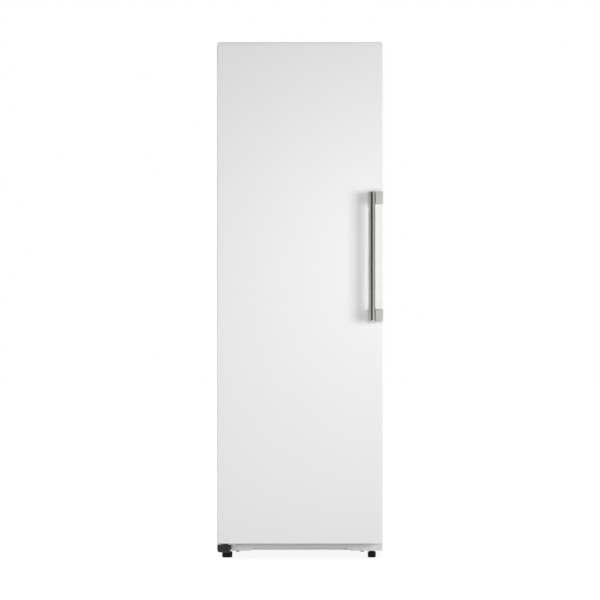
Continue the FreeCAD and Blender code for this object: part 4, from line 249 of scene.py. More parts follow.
def galvanised_steel(colour):
    """Hot-dip galvanised sheet: grey spangles, each with its own shade and gloss."""
    material, tree, shader, _ = textured("galvanised_steel", colour, 3 * MM, relief=0.01 * MM,
                                         fixed={"Metallic": 0.85})
    # Spangles of a hot-dip coat are about 12 mm across.
    place = add_node(tree, "ShaderNodeTexCoord").outputs["Object"]
    spangle = add_node(tree, "ShaderNodeTexVoronoi", {"Vector": place, "Scale": 1 / (12 * MM)})
    shade = add_node(tree, "ShaderNodeSeparateColor",
                     {"Color": spangle.outputs["Color"]}).outputs["Red"]
    tree.links.new(shaded(tree, shade, colour, 0.88, 1.05), shader.inputs["Base Color"])
    gloss = add_node(tree, "ShaderNodeMapRange", {"Value": shade, "To Min": 0.38, "To Max": 0.56})
    tree.links.new(gloss.outputs["Result"], shader.inputs["Roughness"])
    return material


def drawn_metal(name, colour, roughness, streak=(1.0, 1.0, 0.02)):
    """Drawn or rolled metal: faint streaks along the direction in which it was drawn."""
    # The streaks of the die or the rolls are 0.8 mm apart, coarser than real ones, to show.
    return textured(name, colour, 0.8 * MM, (roughness - 0.06, roughness + 0.08), (0.88, 1.06),
                    stretch=streak, fixed={"Metallic": 1.0})[0]


def rubber(name, colour):
    """Moulded rubber or soft vinyl: dull, with a fine skin."""
    # The skin's pores are drawn 1.2 mm apart, some three times their real size.
    return textured(name, colour, 1.2 * MM, None, (0.92, 1.06), 0.02 * MM, detail=3.0,
                    fixed={"Roughness": 0.62, "IOR": 1.52, "Sheen Weight": 0.15})[0]


def stoved_paint(name, colour):
    """Stoved paint over a welded shell: glossy over a slightly lumpy sheet."""
    # Deep drawing leaves lumps about 4 mm across under the paint.
    return textured(name, colour, 4 * MM, (0.24, 0.38), relief=0.05 * MM)[0]


def clear_material(name, colour, roughness, index):
    """Clear tube or lens: light passes through and bends at its faces."""
    # Handling and wiping leave a faint haze in soft patches.
    return textured(name, colour, 60 * MM, (roughness, roughness + 0.06),
                    fixed={"Transmission Weight": 1.0, "IOR": index})[0]


def thin_clear_sheet(name, colour, index, cover):
    """Thin clear sheet: it bends light too little to see, so it only tints it and shines.

    Where a piece's "frost" attribute is 1 its mould was sandblasted: dull, paler and much less clear.
    """
    # Flow lines of the moulding or the float bath, some 50 mm apart, vary its haze a little.
    material, tree, shader, haze = textured(name, colour, 50 * MM, fixed={"IOR": index})
    frost = add_node(tree, "ShaderNodeAttribute", attribute_name="frost").outputs["Fac"]
    tree.links.new(shaded(tree, frost, colour, 1.0, 1.25), shader.inputs["Base Color"])
    for socket, low, high, frosted in (("Roughness", 0.08, 0.14, 0.35),
                                       ("Alpha", cover - 0.02, cover + 0.03, 0.38)):
        clear = add_node(tree, "ShaderNodeMapRange", {"Value": haze, "To Min": low, "To Max": high})
        both = add_node(tree, "ShaderNodeMath", {0: frost, 1: frosted, 2: clear.outputs["Result"]},
                        operation="MULTIPLY_ADD")
        tree.links.new(both.outputs[0], shader.inputs[socket])
    return material


def insulating_foam(colour):
    """Rigid polyurethane foam: pale yellow and dull, with a skin of fine cells."""
    material, tree, shader = new_material("polyurethane_foam")
    # The cells are drawn 1.5 mm across, some three times their real size.
    place = add_node(tree, "ShaderNodeTexCoord").outputs["Object"]
    cells = add_node(tree, "ShaderNodeTexVoronoi",
                     {"Vector": place, "Scale": 1 / (1.5 * MM)}).outputs["Distance"]
    tree.links.new(shaded(tree, cells, colour, 0.85, 1.05), shader.inputs["Base Color"])
    shader.inputs["Roughness"].default_value = 0.9
    bump = add_node(tree, "ShaderNodeBump", {"Height": cells, "Distance": 0.2 * MM})
    tree.links.new(bump.outputs["Normal"], shader.inputs["Normal"])
    return material


def make_finishes(colours):
    """Every finish by its short name."""
    return {
        "enamel": enamelled_steel(colours.enamel),
        "white": moulded_plastic("moulded_white_abs", colours.moulded_white, 0.42),
        "liner": vacuum_formed(colours.liner),
        "grey": moulded_plastic("moulded_grey_abs", linear("#B9BCBE"), 0.45),
        "dark": moulded_plastic("moulded_dark_polypropylene", colours.dark, 0.5, 1.0, 0.02),
        "black": moulded_plastic("moulded_black_polyamide", linear("#0D0D0E"), 0.6, 1.0, 0.02, 0.2),
        "plug": moulded_plastic("moulded_grey_polyethylene", linear("#8E8E8D"), 0.5),
        "steel": brushed_steel(colours.steel),
        # The kick plate's and the door stop's white is the moulded white painted brighter: painted
        # light for the light that their place under the door lacks.
        "painted_light_white": moulded_plastic("moulded_white_painted_brighter", linear("#F5F5F3"), 0.42),
        "bracket": satin_paint("satin_painted_bracket", colours.bracket),
        "galvanised": galvanised_steel(linear("#A9ADB0")),
        "zinc": drawn_metal("zinc_plated_steel", linear("#B4B2A8"), 0.34),
        "copper": drawn_metal("drawn_copper_tube", linear("#C07A53"), 0.3),
        "aluminium": drawn_metal("rolled_aluminium", linear("#C8CACC"), 0.32, (1.0, 0.05, 1.0)),
        "gasket": rubber("soft_vinyl_gasket", linear("#C9CACA")),
        "rubber": rubber("black_rubber", linear("#232323")),
        "stoved": stoved_paint("black_stoved_paint", linear("#1B1B1C")),
        "glass": thin_clear_sheet("float_glass", linear("#BFDCD0"), 1.52, 0.26),
        "quartz": clear_material("quartz_glass", linear("#F2F0EA"), 0.04, 1.46),
        "clear": thin_clear_sheet("clear_polystyrene", linear("#D5E0E4"), 1.59, 0.22),
        "frosted": clear_material("frosted_polycarbonate", linear("#F5F4EE"), 0.4, 1.58),
        "foam": insulating_foam(linear("#E6D9A8")),
    }


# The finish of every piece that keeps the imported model's shape, by finish.
FINISH_OF_NODES = {
    "enamel": ("outer_shell", "door_skin", "front_cross_member"),
    # The kick plate and the door stop wear the moulded white painted brighter, as painted light.
    "painted_light_white": ("kick_plate", "door_stop"),
    "white": ("door_top_cap", "door_bottom_cap", "top_hinge_cover",
              "duct_panel", "shelf_trims", "control_panel", "rear_spacers", "evaporating_tray"),
    "liner": ("inner_liner", "door_liner"),
    "grey": ("temperature_knob", "fast_freeze_button", "fan_blades", "fan_motor", "drip_trough"),
    "dark": ("bottom_hinge_cover", "relay_box", "bay_cover", "hinge_bushes"),
    "black": ("front_foot_left", "front_foot_right", "rear_roller_left", "rear_roller_right"),
    "plug": ("cross_member_plugs",),
    "steel": ("handle_bar",),
    "bracket": ("handle_brackets",),
    "galvanised": ("back_panel", "base_pan"),
    "zinc": ("top_hinge", "bottom_hinge", "roller_axles", "handle_screws", "cabinet_screws"),
    "copper": ("copper_lines", "condenser_coils", "filter_drier"),
    "aluminium": ("evaporator_coil", "evaporator_fins"),
    "gasket": ("door_gasket",),
    "rubber": ("compressor_grommets", "cord_gland"),
    "stoved": ("compressor",),
    "glass": ("shelf_glasses",),
    "quartz": ("defrost_heater",),
    "clear": ("drawer_1", "drawer_2", "drawer_3", "drawer_4", "drawer_5", "flap_lower", "flap_upper"),
    "frosted": ("ceiling_lamp",),
    "foam": ("cabinet_foam", "door_foam"),
}


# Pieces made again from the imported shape: with rounded edges, or only with smooth shading.
ROUNDED_NODES = ("door_top_cap", "kick_plate", "handle_brackets", "bottom_hinge_cover", "door_stop",
                 "top_hinge_cover", "shelf_trims", "temperature_knob", "fast_freeze_button")
SMOOTH_NODES = (
    "outer_shell", "back_panel", "inner_liner", "front_cross_member", "cross_member_plugs", "base_pan",
    "bay_cover", "compressor", "compressor_grommets", "relay_box", "evaporating_tray", "filter_drier",
    "copper_lines", "condenser_coils", "evaporator_coil", "drip_trough", "duct_panel", "fan_motor",
    "fan_blades", "control_panel", "top_hinge", "bottom_hinge", "rear_roller_left", "rear_roller_right",
    "roller_axles", "door_skin", "door_liner", "door_bottom_cap", "hinge_bushes", "rear_spacers",
    "cord_gland")


def finish_of(node):
    """The name of a node's finish."""
    return next(finish for finish, nodes in FINISH_OF_NODES.items() if node in nodes)


def wear(piece, material):
    """Gives a piece one material."""
    piece.data.materials.clear()
    piece.data.materials.append(material)


# ---- surfaces -------------------------------------------------------------------

BORDER = 22 * MM                # raised border round the window of a drawer or flap
BORDER_RISE = 1.2 * MM
RIB_HALF = 2.2 * MM             # half the width of a rib on a drawer or flap
RIB_RISE = 1.6 * MM
STEP = 3 * MM                   # from the window up to its border
FRONT_WALL = 2.4 * MM
DOUBLE = 1e-6                   # points closer than this, in metres, are one
FLAT = 0.5                      # faces that turn by less than this, in degrees, are one

def grid_faces(rows, columns, closing):
    """Faces of a grid of points: each cell is a face between four neighbours.

    A "tube" joins its last column to its first and has both ends closed, a "ring" joins its rows too,
    and a "sheet" stays open.
    """
    index = np.arange(rows * columns).reshape(rows, columns)
    caps = [index[0][::-1].tolist(), index[-1].tolist()] if closing == "tube" else []
    if closing == "ring":
        index = np.vstack([index, index[:1]])
    if closing != "sheet":
        index = np.hstack([index, index[:, :1]])
    cells = np.stack([index[:-1, :-1], index[:-1, 1:], index[1:, 1:], index[1:, :-1]], axis=-1)
    return cells.reshape(-1, 4).tolist() + caps


def surface_piece(name, *surfaces, sharp=35.0):
    """A mesh of one or more surfaces, each a grid of points P(row, column) and how it closes."""
    points, faces = [], []
    for grid, closing in surfaces:
        shift = sum(len(part) for part in points)
        points.append(grid.reshape(-1, 3))
        faces += [[corner + shift for corner in face]
                  for face in grid_faces(*grid.shape[:2], closing)]
    mesh = bpy.data.meshes.new(name)
    mesh.from_pydata(np.concatenate(points).tolist(), [], faces)
    piece = bpy.data.objects.new(name, mesh)
    bpy.context.scene.collection.objects.link(piece)
    close_up(piece, sharp)
    return piece


def close_up(piece, sharp):
    """Merges doubles, turns every face outwards and shades smoothly below an angle in degrees."""
    worked = bmesh.new()
    worked.from_mesh(piece.data)
    bmesh.ops.remove_doubles(worked, verts=worked.verts, dist=DOUBLE)
    bmesh.ops.recalc_face_normals(worked, faces=worked.faces)
    worked.to_mesh(piece.data)
    worked.free()
    piece.data.shade_smooth()
    piece.data.set_sharp_from_angle(angle=math.radians(sharp))


def rounded_outline(low, high, radii, steps=8):
    """A rectangle's outline, turning left: a corner is centre + r (cos a, sin a) over a quarter."""
    quarter = np.linspace(0, QUARTER, steps)
    arcs = []
    for number, side in enumerate(((1, 1), (-1, 1), (-1, -1), (1, -1))):
        radius = radii[number]
        centre = np.where(np.array(side) > 0, high - radius, low + radius)
        turned = quarter + number * QUARTER
        arcs.append(centre + radius * np.stack([np.cos(turned), np.sin(turned)], axis=-1))
    return np.concatenate(arcs)


def soft_extrusion(outline, start, end, rim, steps=6):
    """Rows of an outline pushed from start to end with both rims rounded.

    At an angle f the level is start + r (1 - cos f) and the outline is drawn in by r (1 - sin f). One
    more row stands close inside each rim, so that the long faces between shade straight.
    """
    turn = np.linspace(0, QUARTER, steps)
    levels = rim * np.append(1 - np.cos(turn), 1.2)
    insets = rim * np.append(1 - np.sin(turn), 0)
    levels = np.concatenate([start + levels, end - levels[::-1]])
    insets = np.concatenate([insets, insets[::-1]])
    return np.stack([np.column_stack([outline(inset), np.full(len(outline(inset)), level)])
                     for level, inset in zip(levels, insets)])


def settle(piece, material, body, *nodes, slot=None):
    """Dresses a piece, lets it ride on a body and stand for the nodes that it replaces."""
    wear(piece, material)
    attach(piece, body)
    if nodes:
        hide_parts(*nodes)


def merged_copy(node, suffix, angle):
    """A node's mesh with its loose triangles merged, smooth below an angle in degrees."""
    piece = bpy.data.objects.new(node + suffix, frame["nodes"][node].data.copy())
    bpy.context.scene.collection.objects.link(piece)
    worked = bmesh.new()
    worked.from_mesh(piece.data)
    bmesh.ops.remove_doubles(worked, verts=worked.verts, dist=2 * DOUBLE)
    bmesh.ops.dissolve_limit(worked, angle_limit=math.radians(FLAT), verts=worked.verts,
                             edges=worked.edges)
    worked.to_mesh(piece.data)
    worked.free()
    piece.data.shade_smooth()
    piece.data.set_sharp_from_angle(angle=math.radians(angle))
    return piece


def rounded_copy(node, width, segments=2, angle=30.0):
    """A node's shape with its sharp edges rounded."""
    piece = merged_copy(node, "_rounded", angle)
    bevel = piece.modifiers.new("Rounded edges", "BEVEL")
    bevel.width = width
    bevel.segments = segments
    bevel.limit_method = "ANGLE"
    bevel.angle_limit = math.radians(angle)
    bevel.harden_normals = True
    return piece


def smooth_copy(node, angle=32.0):
    """A node's shape with its curved faces shaded smoothly and its flat ones flat."""
    piece = merged_copy(node, "_smooth", angle)
    normals = piece.modifiers.new("Flat faces stay flat", "WEIGHTED_NORMAL")
    normals.keep_sharp = True
    return piece


def body_of(node):
    """The body that a node rides on."""
    bodies = frame["record"]["behaviour"]["bodies"]
    return next(body for body, members in bodies.items() if node in members)


def smooth_step(values, start, width):
    """0 before start, 1 after start + width, and 3 t^2 - 2 t^3 between them."""
    share = np.clip((values - start) / width, 0, 1)
    return share * share * (3 - 2 * share)


def fine_near(start, end, edges, count=24, width=4 * MM):
    """Values from start to end, evenly spaced, with more of them round each edge."""
    close = [edge + np.linspace(-width, width, 9) for edge in edges]
    values = np.unique(np.concatenate([np.linspace(start, end, count), *close]))
    return values[(values >= min(start, end)) & (values <= max(start, end))]


def hooked_section(plane, start, end, reach, drop, edges):
    """Points (y, z) up a plate whose end curls forward and back on itself, as a grip.

    Two quarter turns of radius r join the plate, the run forward and the lip.
    """
    way = math.copysign(1, end - start)
    radius = 3 * MM
    levels = fine_near(min(start, end), max(start, end), edges)
    levels = levels[(levels - end) * way <= -radius][::int(way)]
    turn = np.linspace(0, QUARTER, 6)
    rise, run = radius * (1 - np.sin(turn)), radius * (1 - np.cos(turn))
    return np.concatenate([
        np.column_stack([np.full_like(levels, plane), levels]),
        np.column_stack([plane - run, end - way * rise]),
        np.column_stack([plane - reach + rise, end - way * run]),
        [[plane - reach, end - way * drop]]])


def formed_front(name, half, section, window, ribs):
    """A sheet along X with a hooked section, a raised border round its window, and ribs.

    At (x, z) the sheet rises by the border's rise outside the window and by the ribs' along each rib,
    with smooth steps. Its "frost" attribute is 1 on both and 0 in the window.
    """
    low, high = window
    side = half - BORDER
    across = fine_near(-half, half, (-side, side), 30)
    x, z = np.meshgrid(across, section[:, 1])
    y = np.repeat(section[:, :1], len(across), axis=1)
    inside = (smooth_step(side - np.abs(x), 0, STEP) * smooth_step(z, low, STEP)
              * smooth_step(-z, -high, STEP))
    lines = sum(smooth_step(RIB_HALF - np.abs(z - rib), 0, RIB_HALF) for rib in ribs)
    plate = y > section[0, 0] - MM / 10
    y = y - np.where(plate, BORDER_RISE * (1 - inside) + RIB_RISE * lines * inside, 0)
    piece = surface_piece(name, (np.stack([x, y, z], axis=-1), "sheet"), sharp=60.0)
    frost = piece.data.attributes.new("frost", "FLOAT", "POINT")
    frost.data.foreach_set("value", np.clip(1 - inside + lines * inside, 0, 1).ravel())
    wall = piece.modifiers.new("Wall", "SOLIDIFY")
    wall.thickness = FRONT_WALL
    wall.offset = 0
    wall.use_even_offset = True
    return piece


def tub_surface(low, high, base, rim):
    """Rows of a tub from the middle of its floor outside, up, over its lip and down inside.

    Each row is the plan's outline at a level, drawn in by the wall, the taper and the rounding of
    the floor.
    """
    wall, taper, lip, foot, corner = 2.5 * MM, 5 * MM, 2 * MM, 8 * MM, 20 * MM
    middle, lip_height = 60 * MM, 5 * MM
    turn = np.linspace(0, QUARTER, 6)
    rows = [(base, middle)]
    rows += [(base + foot * (1 - math.cos(a)), taper + lip + foot * (1 - math.sin(a))) for a in turn]
    rows += [(rim - lip_height - lip, lip), (rim - lip_height, lip), (rim - lip_height, 0),
             (rim - MM, 0), (rim, MM), (rim, wall + lip - MM), (rim - MM, wall + lip)]
    rows += [(base + wall + foot * (1 - math.cos(a)), taper + lip + wall + foot * (1 - math.sin(a)))
             for a in turn[::-1]]
    rows += [(base + wall, middle)]
    grid = []
    for level, inset in rows:
        outline = rounded_outline(low + inset, high - inset, [max(corner - inset, MM)] * 4, 6)
        grid.append(np.column_stack([outline, np.full(len(outline), level)]))
    return np.stack(grid)


def revolved(profile, steps, flutes=0, depth=0.0, fluted=(0.0, 0.0)):
    """Rows (r cos a, r sin a, z) of a profile, r drawn in by rounded flutes between two levels."""
    angle = np.linspace(0, FULL, steps, endpoint=False)
    radius, level = np.array(profile).T
    cut = depth * (0.5 - 0.5 * np.cos(flutes * angle)) ** 2
    cut = cut[None, :] * ((level > fluted[0]) & (level < fluted[1]))[:, None]
    spread = radius[:, None] - cut
    return np.stack([spread * np.cos(angle), spread * np.sin(angle),
                     np.repeat(level[:, None], steps, axis=1)], axis=-1)


def screw_head(place, outward):
    """A pan head with a cross recess: a dome whose height falls by the cross's depth inside it."""
    radius, height = 4.5 * MM, 2.8 * MM
    ring = np.concatenate([np.linspace(0.02, 1, 14), [1.0]]) * radius
    angle = np.linspace(0, FULL, 48, endpoint=False)
    spread, turned = np.meshgrid(ring, angle, indexing="ij")
    x, y = spread * np.cos(turned), spread * np.sin(turned)
    dome = height * np.sqrt(np.clip(1.02 - (spread / radius) ** 3, 0.02, 1))
    slot, reach, edge = 0.55 * MM, 2.4 * MM, 0.35 * MM
    arms = [(1 - smooth_step(np.abs(a), slot, edge)) * (1 - smooth_step(np.abs(b), reach, edge))
            for a, b in ((x, y), (y, x))]
    z = dome - 1.8 * MM * np.maximum(*arms)
    z[-1] = 0
    out = np.array(outward, float)
    side = np.cross(out, (1, 0, 0))
    return np.array(place) + np.stack([x, y, z], axis=-1) @ np.stack([(1, 0, 0), side, out])


# ---- steps ----------------------------------------------------------------------

FINISHES = {}                   # every finish by its short name, filled by the first step


class FREEZER_OT_finishes(bpy.types.Operator):
    """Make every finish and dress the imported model's pieces in them"""
    bl_idname = "freezer.finishes"
    bl_label = "Finishes"

    def execute(self, context):
        FINISHES.update(make_finishes(context.scene.freezer_colours))
        for finish, nodes in FINISH_OF_NODES.items():
            for node in nodes:
                wear(frame["nodes"][node], FINISHES[finish])
        return {"FINISHED"}


class FREEZER_OT_handle_bar(bpy.types.Operator):
    """Make the handle bar with a crowned front and rounded ends"""
    bl_idname = "freezer.handle_bar"
    bl_label = "Handle bar"

    def execute(self, context):
        sizes = context.scene.freezer_sizes
        low, high = (np.array(corner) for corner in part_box("handle_bar"))
        back_round, front_round = 2 * MM, 11 * MM

        def outline(inset):
            """The bar's section, drawn in by its end rounding."""
            radii = np.maximum(np.array([back_round, back_round, front_round, front_round]) - inset,
                               0.2 * MM)
            return rounded_outline(low[:2] + inset, high[:2] - inset, radii, 12)
        points = soft_extrusion(outline, low[2], high[2], sizes.bar_end_round)
        bar = surface_piece("handle_bar_crowned", (points, "tube"))
        settle(bar, FINISHES["steel"], "door", "handle_bar", slot="brushed_steel")
        return {"FINISHED"}


class FREEZER_OT_gasket(bpy.types.Operator):
    """Make the door gasket as a bellows section carried round the inner liner"""
    bl_idname = "freezer.gasket"
    bl_label = "Door gasket"

    def execute(self, context):
        sizes = context.scene.freezer_sizes
        low, high = (np.array(corner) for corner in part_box("door_gasket"))
        width, depth = 18 * MM, high[1] - low[1]
        fold = sizes.bellows_depth / width
        # The section, as shares of its width and depth: flat on the door, a bellows, a magnet pocket.
        section = np.array([
            (0.0, 0.0), (1.0, 0.0), (1.0, 0.24), (1 - fold, 0.36), (1.0, 0.48), (1.0, 0.94),
            (0.94, 1.0), (0.10, 1.0), (0.0, 0.92), (0.0, 0.66), (2 * fold, 0.46), (0.0, 0.26)])
        out = section[:, 0] * width
        along = low[1] + section[:, 1] * depth
        ring_low, ring_high = low[[0, 2]] + width, high[[0, 2]] - width
        corner = 3 * MM
        rows = [rounded_outline(ring_low - step, ring_high + step, [corner + step] * 4, 7)
                for step in out]
        points = np.stack([np.column_stack([row[:, 0], np.full(len(row), level), row[:, 1]])
                           for row, level in zip(rows, along)])
        gasket = surface_piece("door_gasket_bellows", (points, "ring"), sharp=50.0)
        settle(gasket, FINISHES["gasket"], "door", "door_gasket", slot="grey_rubber")
        return {"FINISHED"}


class FREEZER_OT_drawers(bpy.types.Operator):
    """Make the clear drawers: a lipped tub behind a formed front with ribs and a grip"""
    bl_idname = "freezer.drawers"
    bl_label = "Drawers"

    def execute(self, context):
        sizes = context.scene.freezer_sizes
        height, first_rib, top_border, rim_drop = 229 * MM, 60 * MM, 40 * MM, 20 * MM
        reach, drop, half_wall, tub_gap = 9 * MM, 14 * MM, 1.5 * MM, 4.5 * MM
        for number in range(1, 6):
            node = f"drawer_{number}"
            low, high = (np.array(corner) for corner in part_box(node))
            plane, bottom, top = low[1] + reach, high[2] - height, high[2]
            ribs = bottom + first_rib + sizes.rib_spacing * np.arange(sizes.rib_count)
            window = (bottom + BORDER, top - top_border)
            section = hooked_section(plane + half_wall, bottom, top - MM, reach, drop,
                                     (*window, *ribs))
            front = formed_front(node + "_front", high[0], section, window, ribs)
            settle(front, FINISHES["clear"], f"bin_{number}", slot="clear_plastic")
            tub = tub_surface(np.array([low[0], plane + tub_gap]), high[:2], low[2], top - rim_drop)
            piece = surface_piece(node + "_tub", (tub, "tube"))
            settle(piece, FINISHES["clear"], f"bin_{number}", node, slot="clear_plastic")
        return {"FINISHED"}


class FREEZER_OT_flaps(bpy.types.Operator):
    """Make the clear flaps: a formed sheet with ribs, a grip along its lower edge and two pins"""
    bl_idname = "freezer.flaps"
    bl_label = "Flaps"

    def execute(self, context):
        sizes = context.scene.freezer_sizes
        pin_length, half_wall, first_rib = 6 * MM, 1.5 * MM, 70 * MM
        low_border, top_border, reach, drop = 40 * MM, 30 * MM, 9 * MM, 13 * MM
        pin_drop, collar, collar_radius, pin_radius, hub = 6 * MM, 4 * MM, 7 * MM, 3 * MM, 0.1 * MM
        for label in ("lower", "upper"):
            node = "flap_" + label
            low, high = (np.array(corner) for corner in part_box(node))
            half, plane = high[0] - pin_length, high[1] - half_wall
            ribs = low[2] + first_rib + sizes.rib_spacing * np.arange(sizes.rib_count)
            window = (low[2] + low_border, high[2] - top_border)
            section = hooked_section(plane, high[2], low[2] + MM, reach, drop, (*window, *ribs))
            front = formed_front(node + "_sheet", half, section, window, ribs)
            settle(front, FINISHES["clear"], label + "_flap", node, slot="clear_plastic")
            profile = [(hub, half - collar), (collar_radius, half - collar), (collar_radius, half),
                       (pin_radius, half), (pin_radius, high[0] - MM), (pin_radius - MM, high[0]),
                       (hub, high[0])]
            pin = revolved(profile, 24)[..., [2, 0, 1]] + (0, plane, high[2] - pin_drop)
            pins = surface_piece(node + "_pins", (pin, "tube"), (pin * (-1, 1, 1), "tube"))
            settle(pins, FINISHES["white"], label + "_flap", slot="white_plastic")
        return {"FINISHED"}


class FREEZER_OT_controls(bpy.types.Operator):
    """Make the lamp's fluted lens and the scale of ticks round the temperature knob"""
    bl_idname = "freezer.controls"
    bl_label = "Lamp and knob scale"

    def execute(self, context):
        rim, deep, pitch, wall_width = 2.5 * MM, 2.2 * MM, 3 * MM, 1.2 * MM
        low, high = (np.array(corner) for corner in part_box("ceiling_lamp"))
        middle, half = (low + high) / 2, (high - low) / 2 - rim
        across, up = np.linspace(-1, 1, 91), np.linspace(-1, 1, 17)
        x, z = np.meshgrid(across, up, indexing="ij")
        # The lens bulges by 1.6 (1 - x^8)(1 - z^6) mm, and its flutes 3 mm apart by 0.4 mm more.
        bulge = 1.6 * MM * (1 - x ** 8) * (1 - z ** 6)
        flutes = 0.2 * MM * (1 + np.cos(FULL * x * half[0] / pitch)) * (1 - x ** 8)
        y = low[1] + deep - bulge - flutes
        lens = surface_piece("ceiling_lamp_lens", (np.stack(
            [middle[0] + x * half[0], y, middle[2] + z * half[2]], axis=-1), "sheet"), sharp=80.0)
        wall = lens.modifiers.new("Wall", "SOLIDIFY")
        wall.thickness = wall_width
        wall.offset = 0
        settle(lens, FINISHES["frosted"], "cabinet", "ceiling_lamp", slot="clear_plastic")

        low, high = (np.array(corner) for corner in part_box("temperature_knob"))
        centre, radius = (low + high)[[0, 2]] / 2, (high - low)[0] / 2
        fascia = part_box("control_panel")[0].y
        # Eleven ticks over the knob's 270 degrees: each 1 mm wide, 3 mm long and 0.3 mm high.
        outline = np.array([(-0.5, 3), (0.5, 3), (0.5, 6), (-0.5, 6)]) * MM + (0, radius)
        ticks = []
        for turn in np.linspace(-0.375, 0.375, 11) * FULL:
            cosine, sine = math.cos(turn), math.sin(turn)
            placed = outline @ np.array([(cosine, -sine), (sine, cosine)]) + centre
            ticks.append((np.stack([np.column_stack([placed[:, 0], np.full(4, level), placed[:, 1]])
                                    for level in (fascia - 0.3 * MM, fascia)]), "tube"))
        settle(surface_piece("knob_scale", *ticks), FINISHES["grey"], "cabinet", slot="grey_plastic")
        return {"FINISHED"}


class FREEZER_OT_feet(bpy.types.Operator):
    """Make the levelling feet with grip flutes round their pads"""
    bl_idname = "freezer.feet"
    bl_label = "Levelling feet"

    def execute(self, context):
        sizes = context.scene.freezer_sizes
        edge, pad, neck, shoulder = 2.4 * MM, 21 * MM, 7.5 * MM, 1.5 * MM
        stud, hub, flute_depth = 5 * MM, 0.5 * MM, 1.1 * MM
        turn = np.linspace(0, QUARTER, 7)
        for side in ("left", "right"):
            node = "front_foot_" + side
            low, high = (np.array(corner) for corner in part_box(node))
            middle, radius = (low + high) / 2, (high - low)[0] / 2
            profile = [(hub, 0.0)]
            profile += [(radius - edge * (1 - math.sin(a)), edge * (1 - math.cos(a))) for a in turn]
            profile += [(radius, edge + 1.5 * MM)]
            profile += [(radius - edge * (1 - math.cos(a)), pad - edge * (1 - math.sin(a)))
                        for a in turn]
            profile += [(neck, pad + shoulder), (stud, pad + shoulder), (stud, high[2] - MM),
                        (stud - MM, high[2]), (hub, high[2])]
            foot = revolved(profile, 144, sizes.foot_flutes, flute_depth, (edge - 0.1 * MM, pad))
            piece = surface_piece(node + "_fluted", (foot + (middle[0], middle[1], 0), "tube"))
            settle(piece, FINISHES["black"], side + "_foot", node)
        return {"FINISHED"}


class FREEZER_OT_screws(bpy.types.Operator):
    """Make the cross-recessed pan heads of the cabinet's and the handle's screws"""
    bl_idname = "freezer.screws"
    bl_label = "Screws"

    def execute(self, context):
        boxes = {node: [np.array(corner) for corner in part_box(node)]
                 for node in ("top_hinge", "bottom_hinge", "base_pan", "bay_cover",
                              "compressor_grommets", "handle_bar")}
        # Each head stands at a hole of the piece that it holds, told from that piece's box.
        up, front, back = (0, 0, 1), (0, -1, 0), (0, 1, 0)
        hinge_holes = np.array([(11, 11), (57, 11), (57, 40)]) * MM
        left_inset, right_inset, plate, hole_level = 11 * MM, 8.2 * MM, 3 * MM, 9.5 * MM
        cover_places, cover_drop = np.array([-184, 0, 184]) * MM, 7 * MM
        grommet_radius, foot_plate = 12 * MM, 3 * MM
        handle_insets, handle_gap = np.array([12, 31.7]) * MM, 7 * MM

        low, high = boxes["top_hinge"]
        heads = [((low[0] + x, high[1] - y, high[2]), up) for x, y in hinge_holes]
        low, high = boxes["bottom_hinge"]
        heads += [((x, high[1] - plate, low[2] + hole_level), front)
                  for x in (low[0] + left_inset, high[0] - right_inset)]
        level, cover = boxes["base_pan"][1][2] - cover_drop, boxes["bay_cover"][1][1]
        heads += [((x, cover, level), back) for x in cover_places]
        low, high = boxes["compressor_grommets"]
        heads += [((x, y, high[2] + foot_plate), up)
                  for x in (low[0] + grommet_radius, high[0] - grommet_radius)
                  for y in (low[1] + grommet_radius, high[1] - grommet_radius)]
        piece = surface_piece("cabinet_screw_heads", *[(screw_head(*head), "tube") for head in heads])
        settle(piece, FINISHES["zinc"], "cabinet", "cabinet_screws")
        low, high = boxes["handle_bar"]
        heads = [(((low[0] + high[0]) / 2, high[1] + handle_gap, level), back)
                 for inset in handle_insets for level in (low[2] + inset, high[2] - inset)]
        piece = surface_piece("handle_screw_heads", *[(screw_head(*head), "tube") for head in heads])
        settle(piece, FINISHES["zinc"], "door", "handle_screws")
        return {"FINISHED"}


class FREEZER_OT_rounded_edges(bpy.types.Operator):
    """Make the outer mouldings again with rounded edges, and the other pieces smoothly shaded"""
    bl_idname = "freezer.rounded_edges"
    bl_label = "Rounded edges"

    def execute(self, context):
        width = context.scene.freezer_sizes.edge_bevel
        for node in ROUNDED_NODES:
            settle(rounded_copy(node, width), FINISHES[finish_of(node)], body_of(node), node)
        for node in SMOOTH_NODES:
            settle(smooth_copy(node), FINISHES[finish_of(node)], body_of(node), node)
        return {"FINISHED"}


# ---- stage ----------------------------------------------------------------------

CAMERA_DISTANCE = 10.0          # from the door's face
CAMERA_HEIGHT = 0.930
DOOR_WIDTH_IN_VIEW = 166 / 600  # the door's share of the picture's width
BAR_REACH = 48 * MM             # from the bar's front to the door's face
SENSOR = 36.0                   # camera settings are in millimetres
VIEW_END = 100.0
WORLD_LIGHT = 0.17              # what the white surroundings give to dull surfaces
WORLD_MIRRORED = 0.3            # and how bright reflections show them
FLOOR_SHADE = 0.27
FLOOR_GLOW = (0.85, 1.0)        # beside the freezer, and further off
FLOOR_FADE = (0.6, 1.8)         # between these distances from the freezer's middle
FLOOR_HALF = 20.0
CARD_ENDS = (-9.0, 2.5)         # of the dark card, along X
CARD_HALF_HEIGHT = 3.0
CARD_BEHIND_CAMERA = 0.6
CARD_GLOW = 0.05
BLACK, WHITE = (0.01, 0.01, 0.01, 1.0), (1.0, 1.0, 1.0, 1.0)

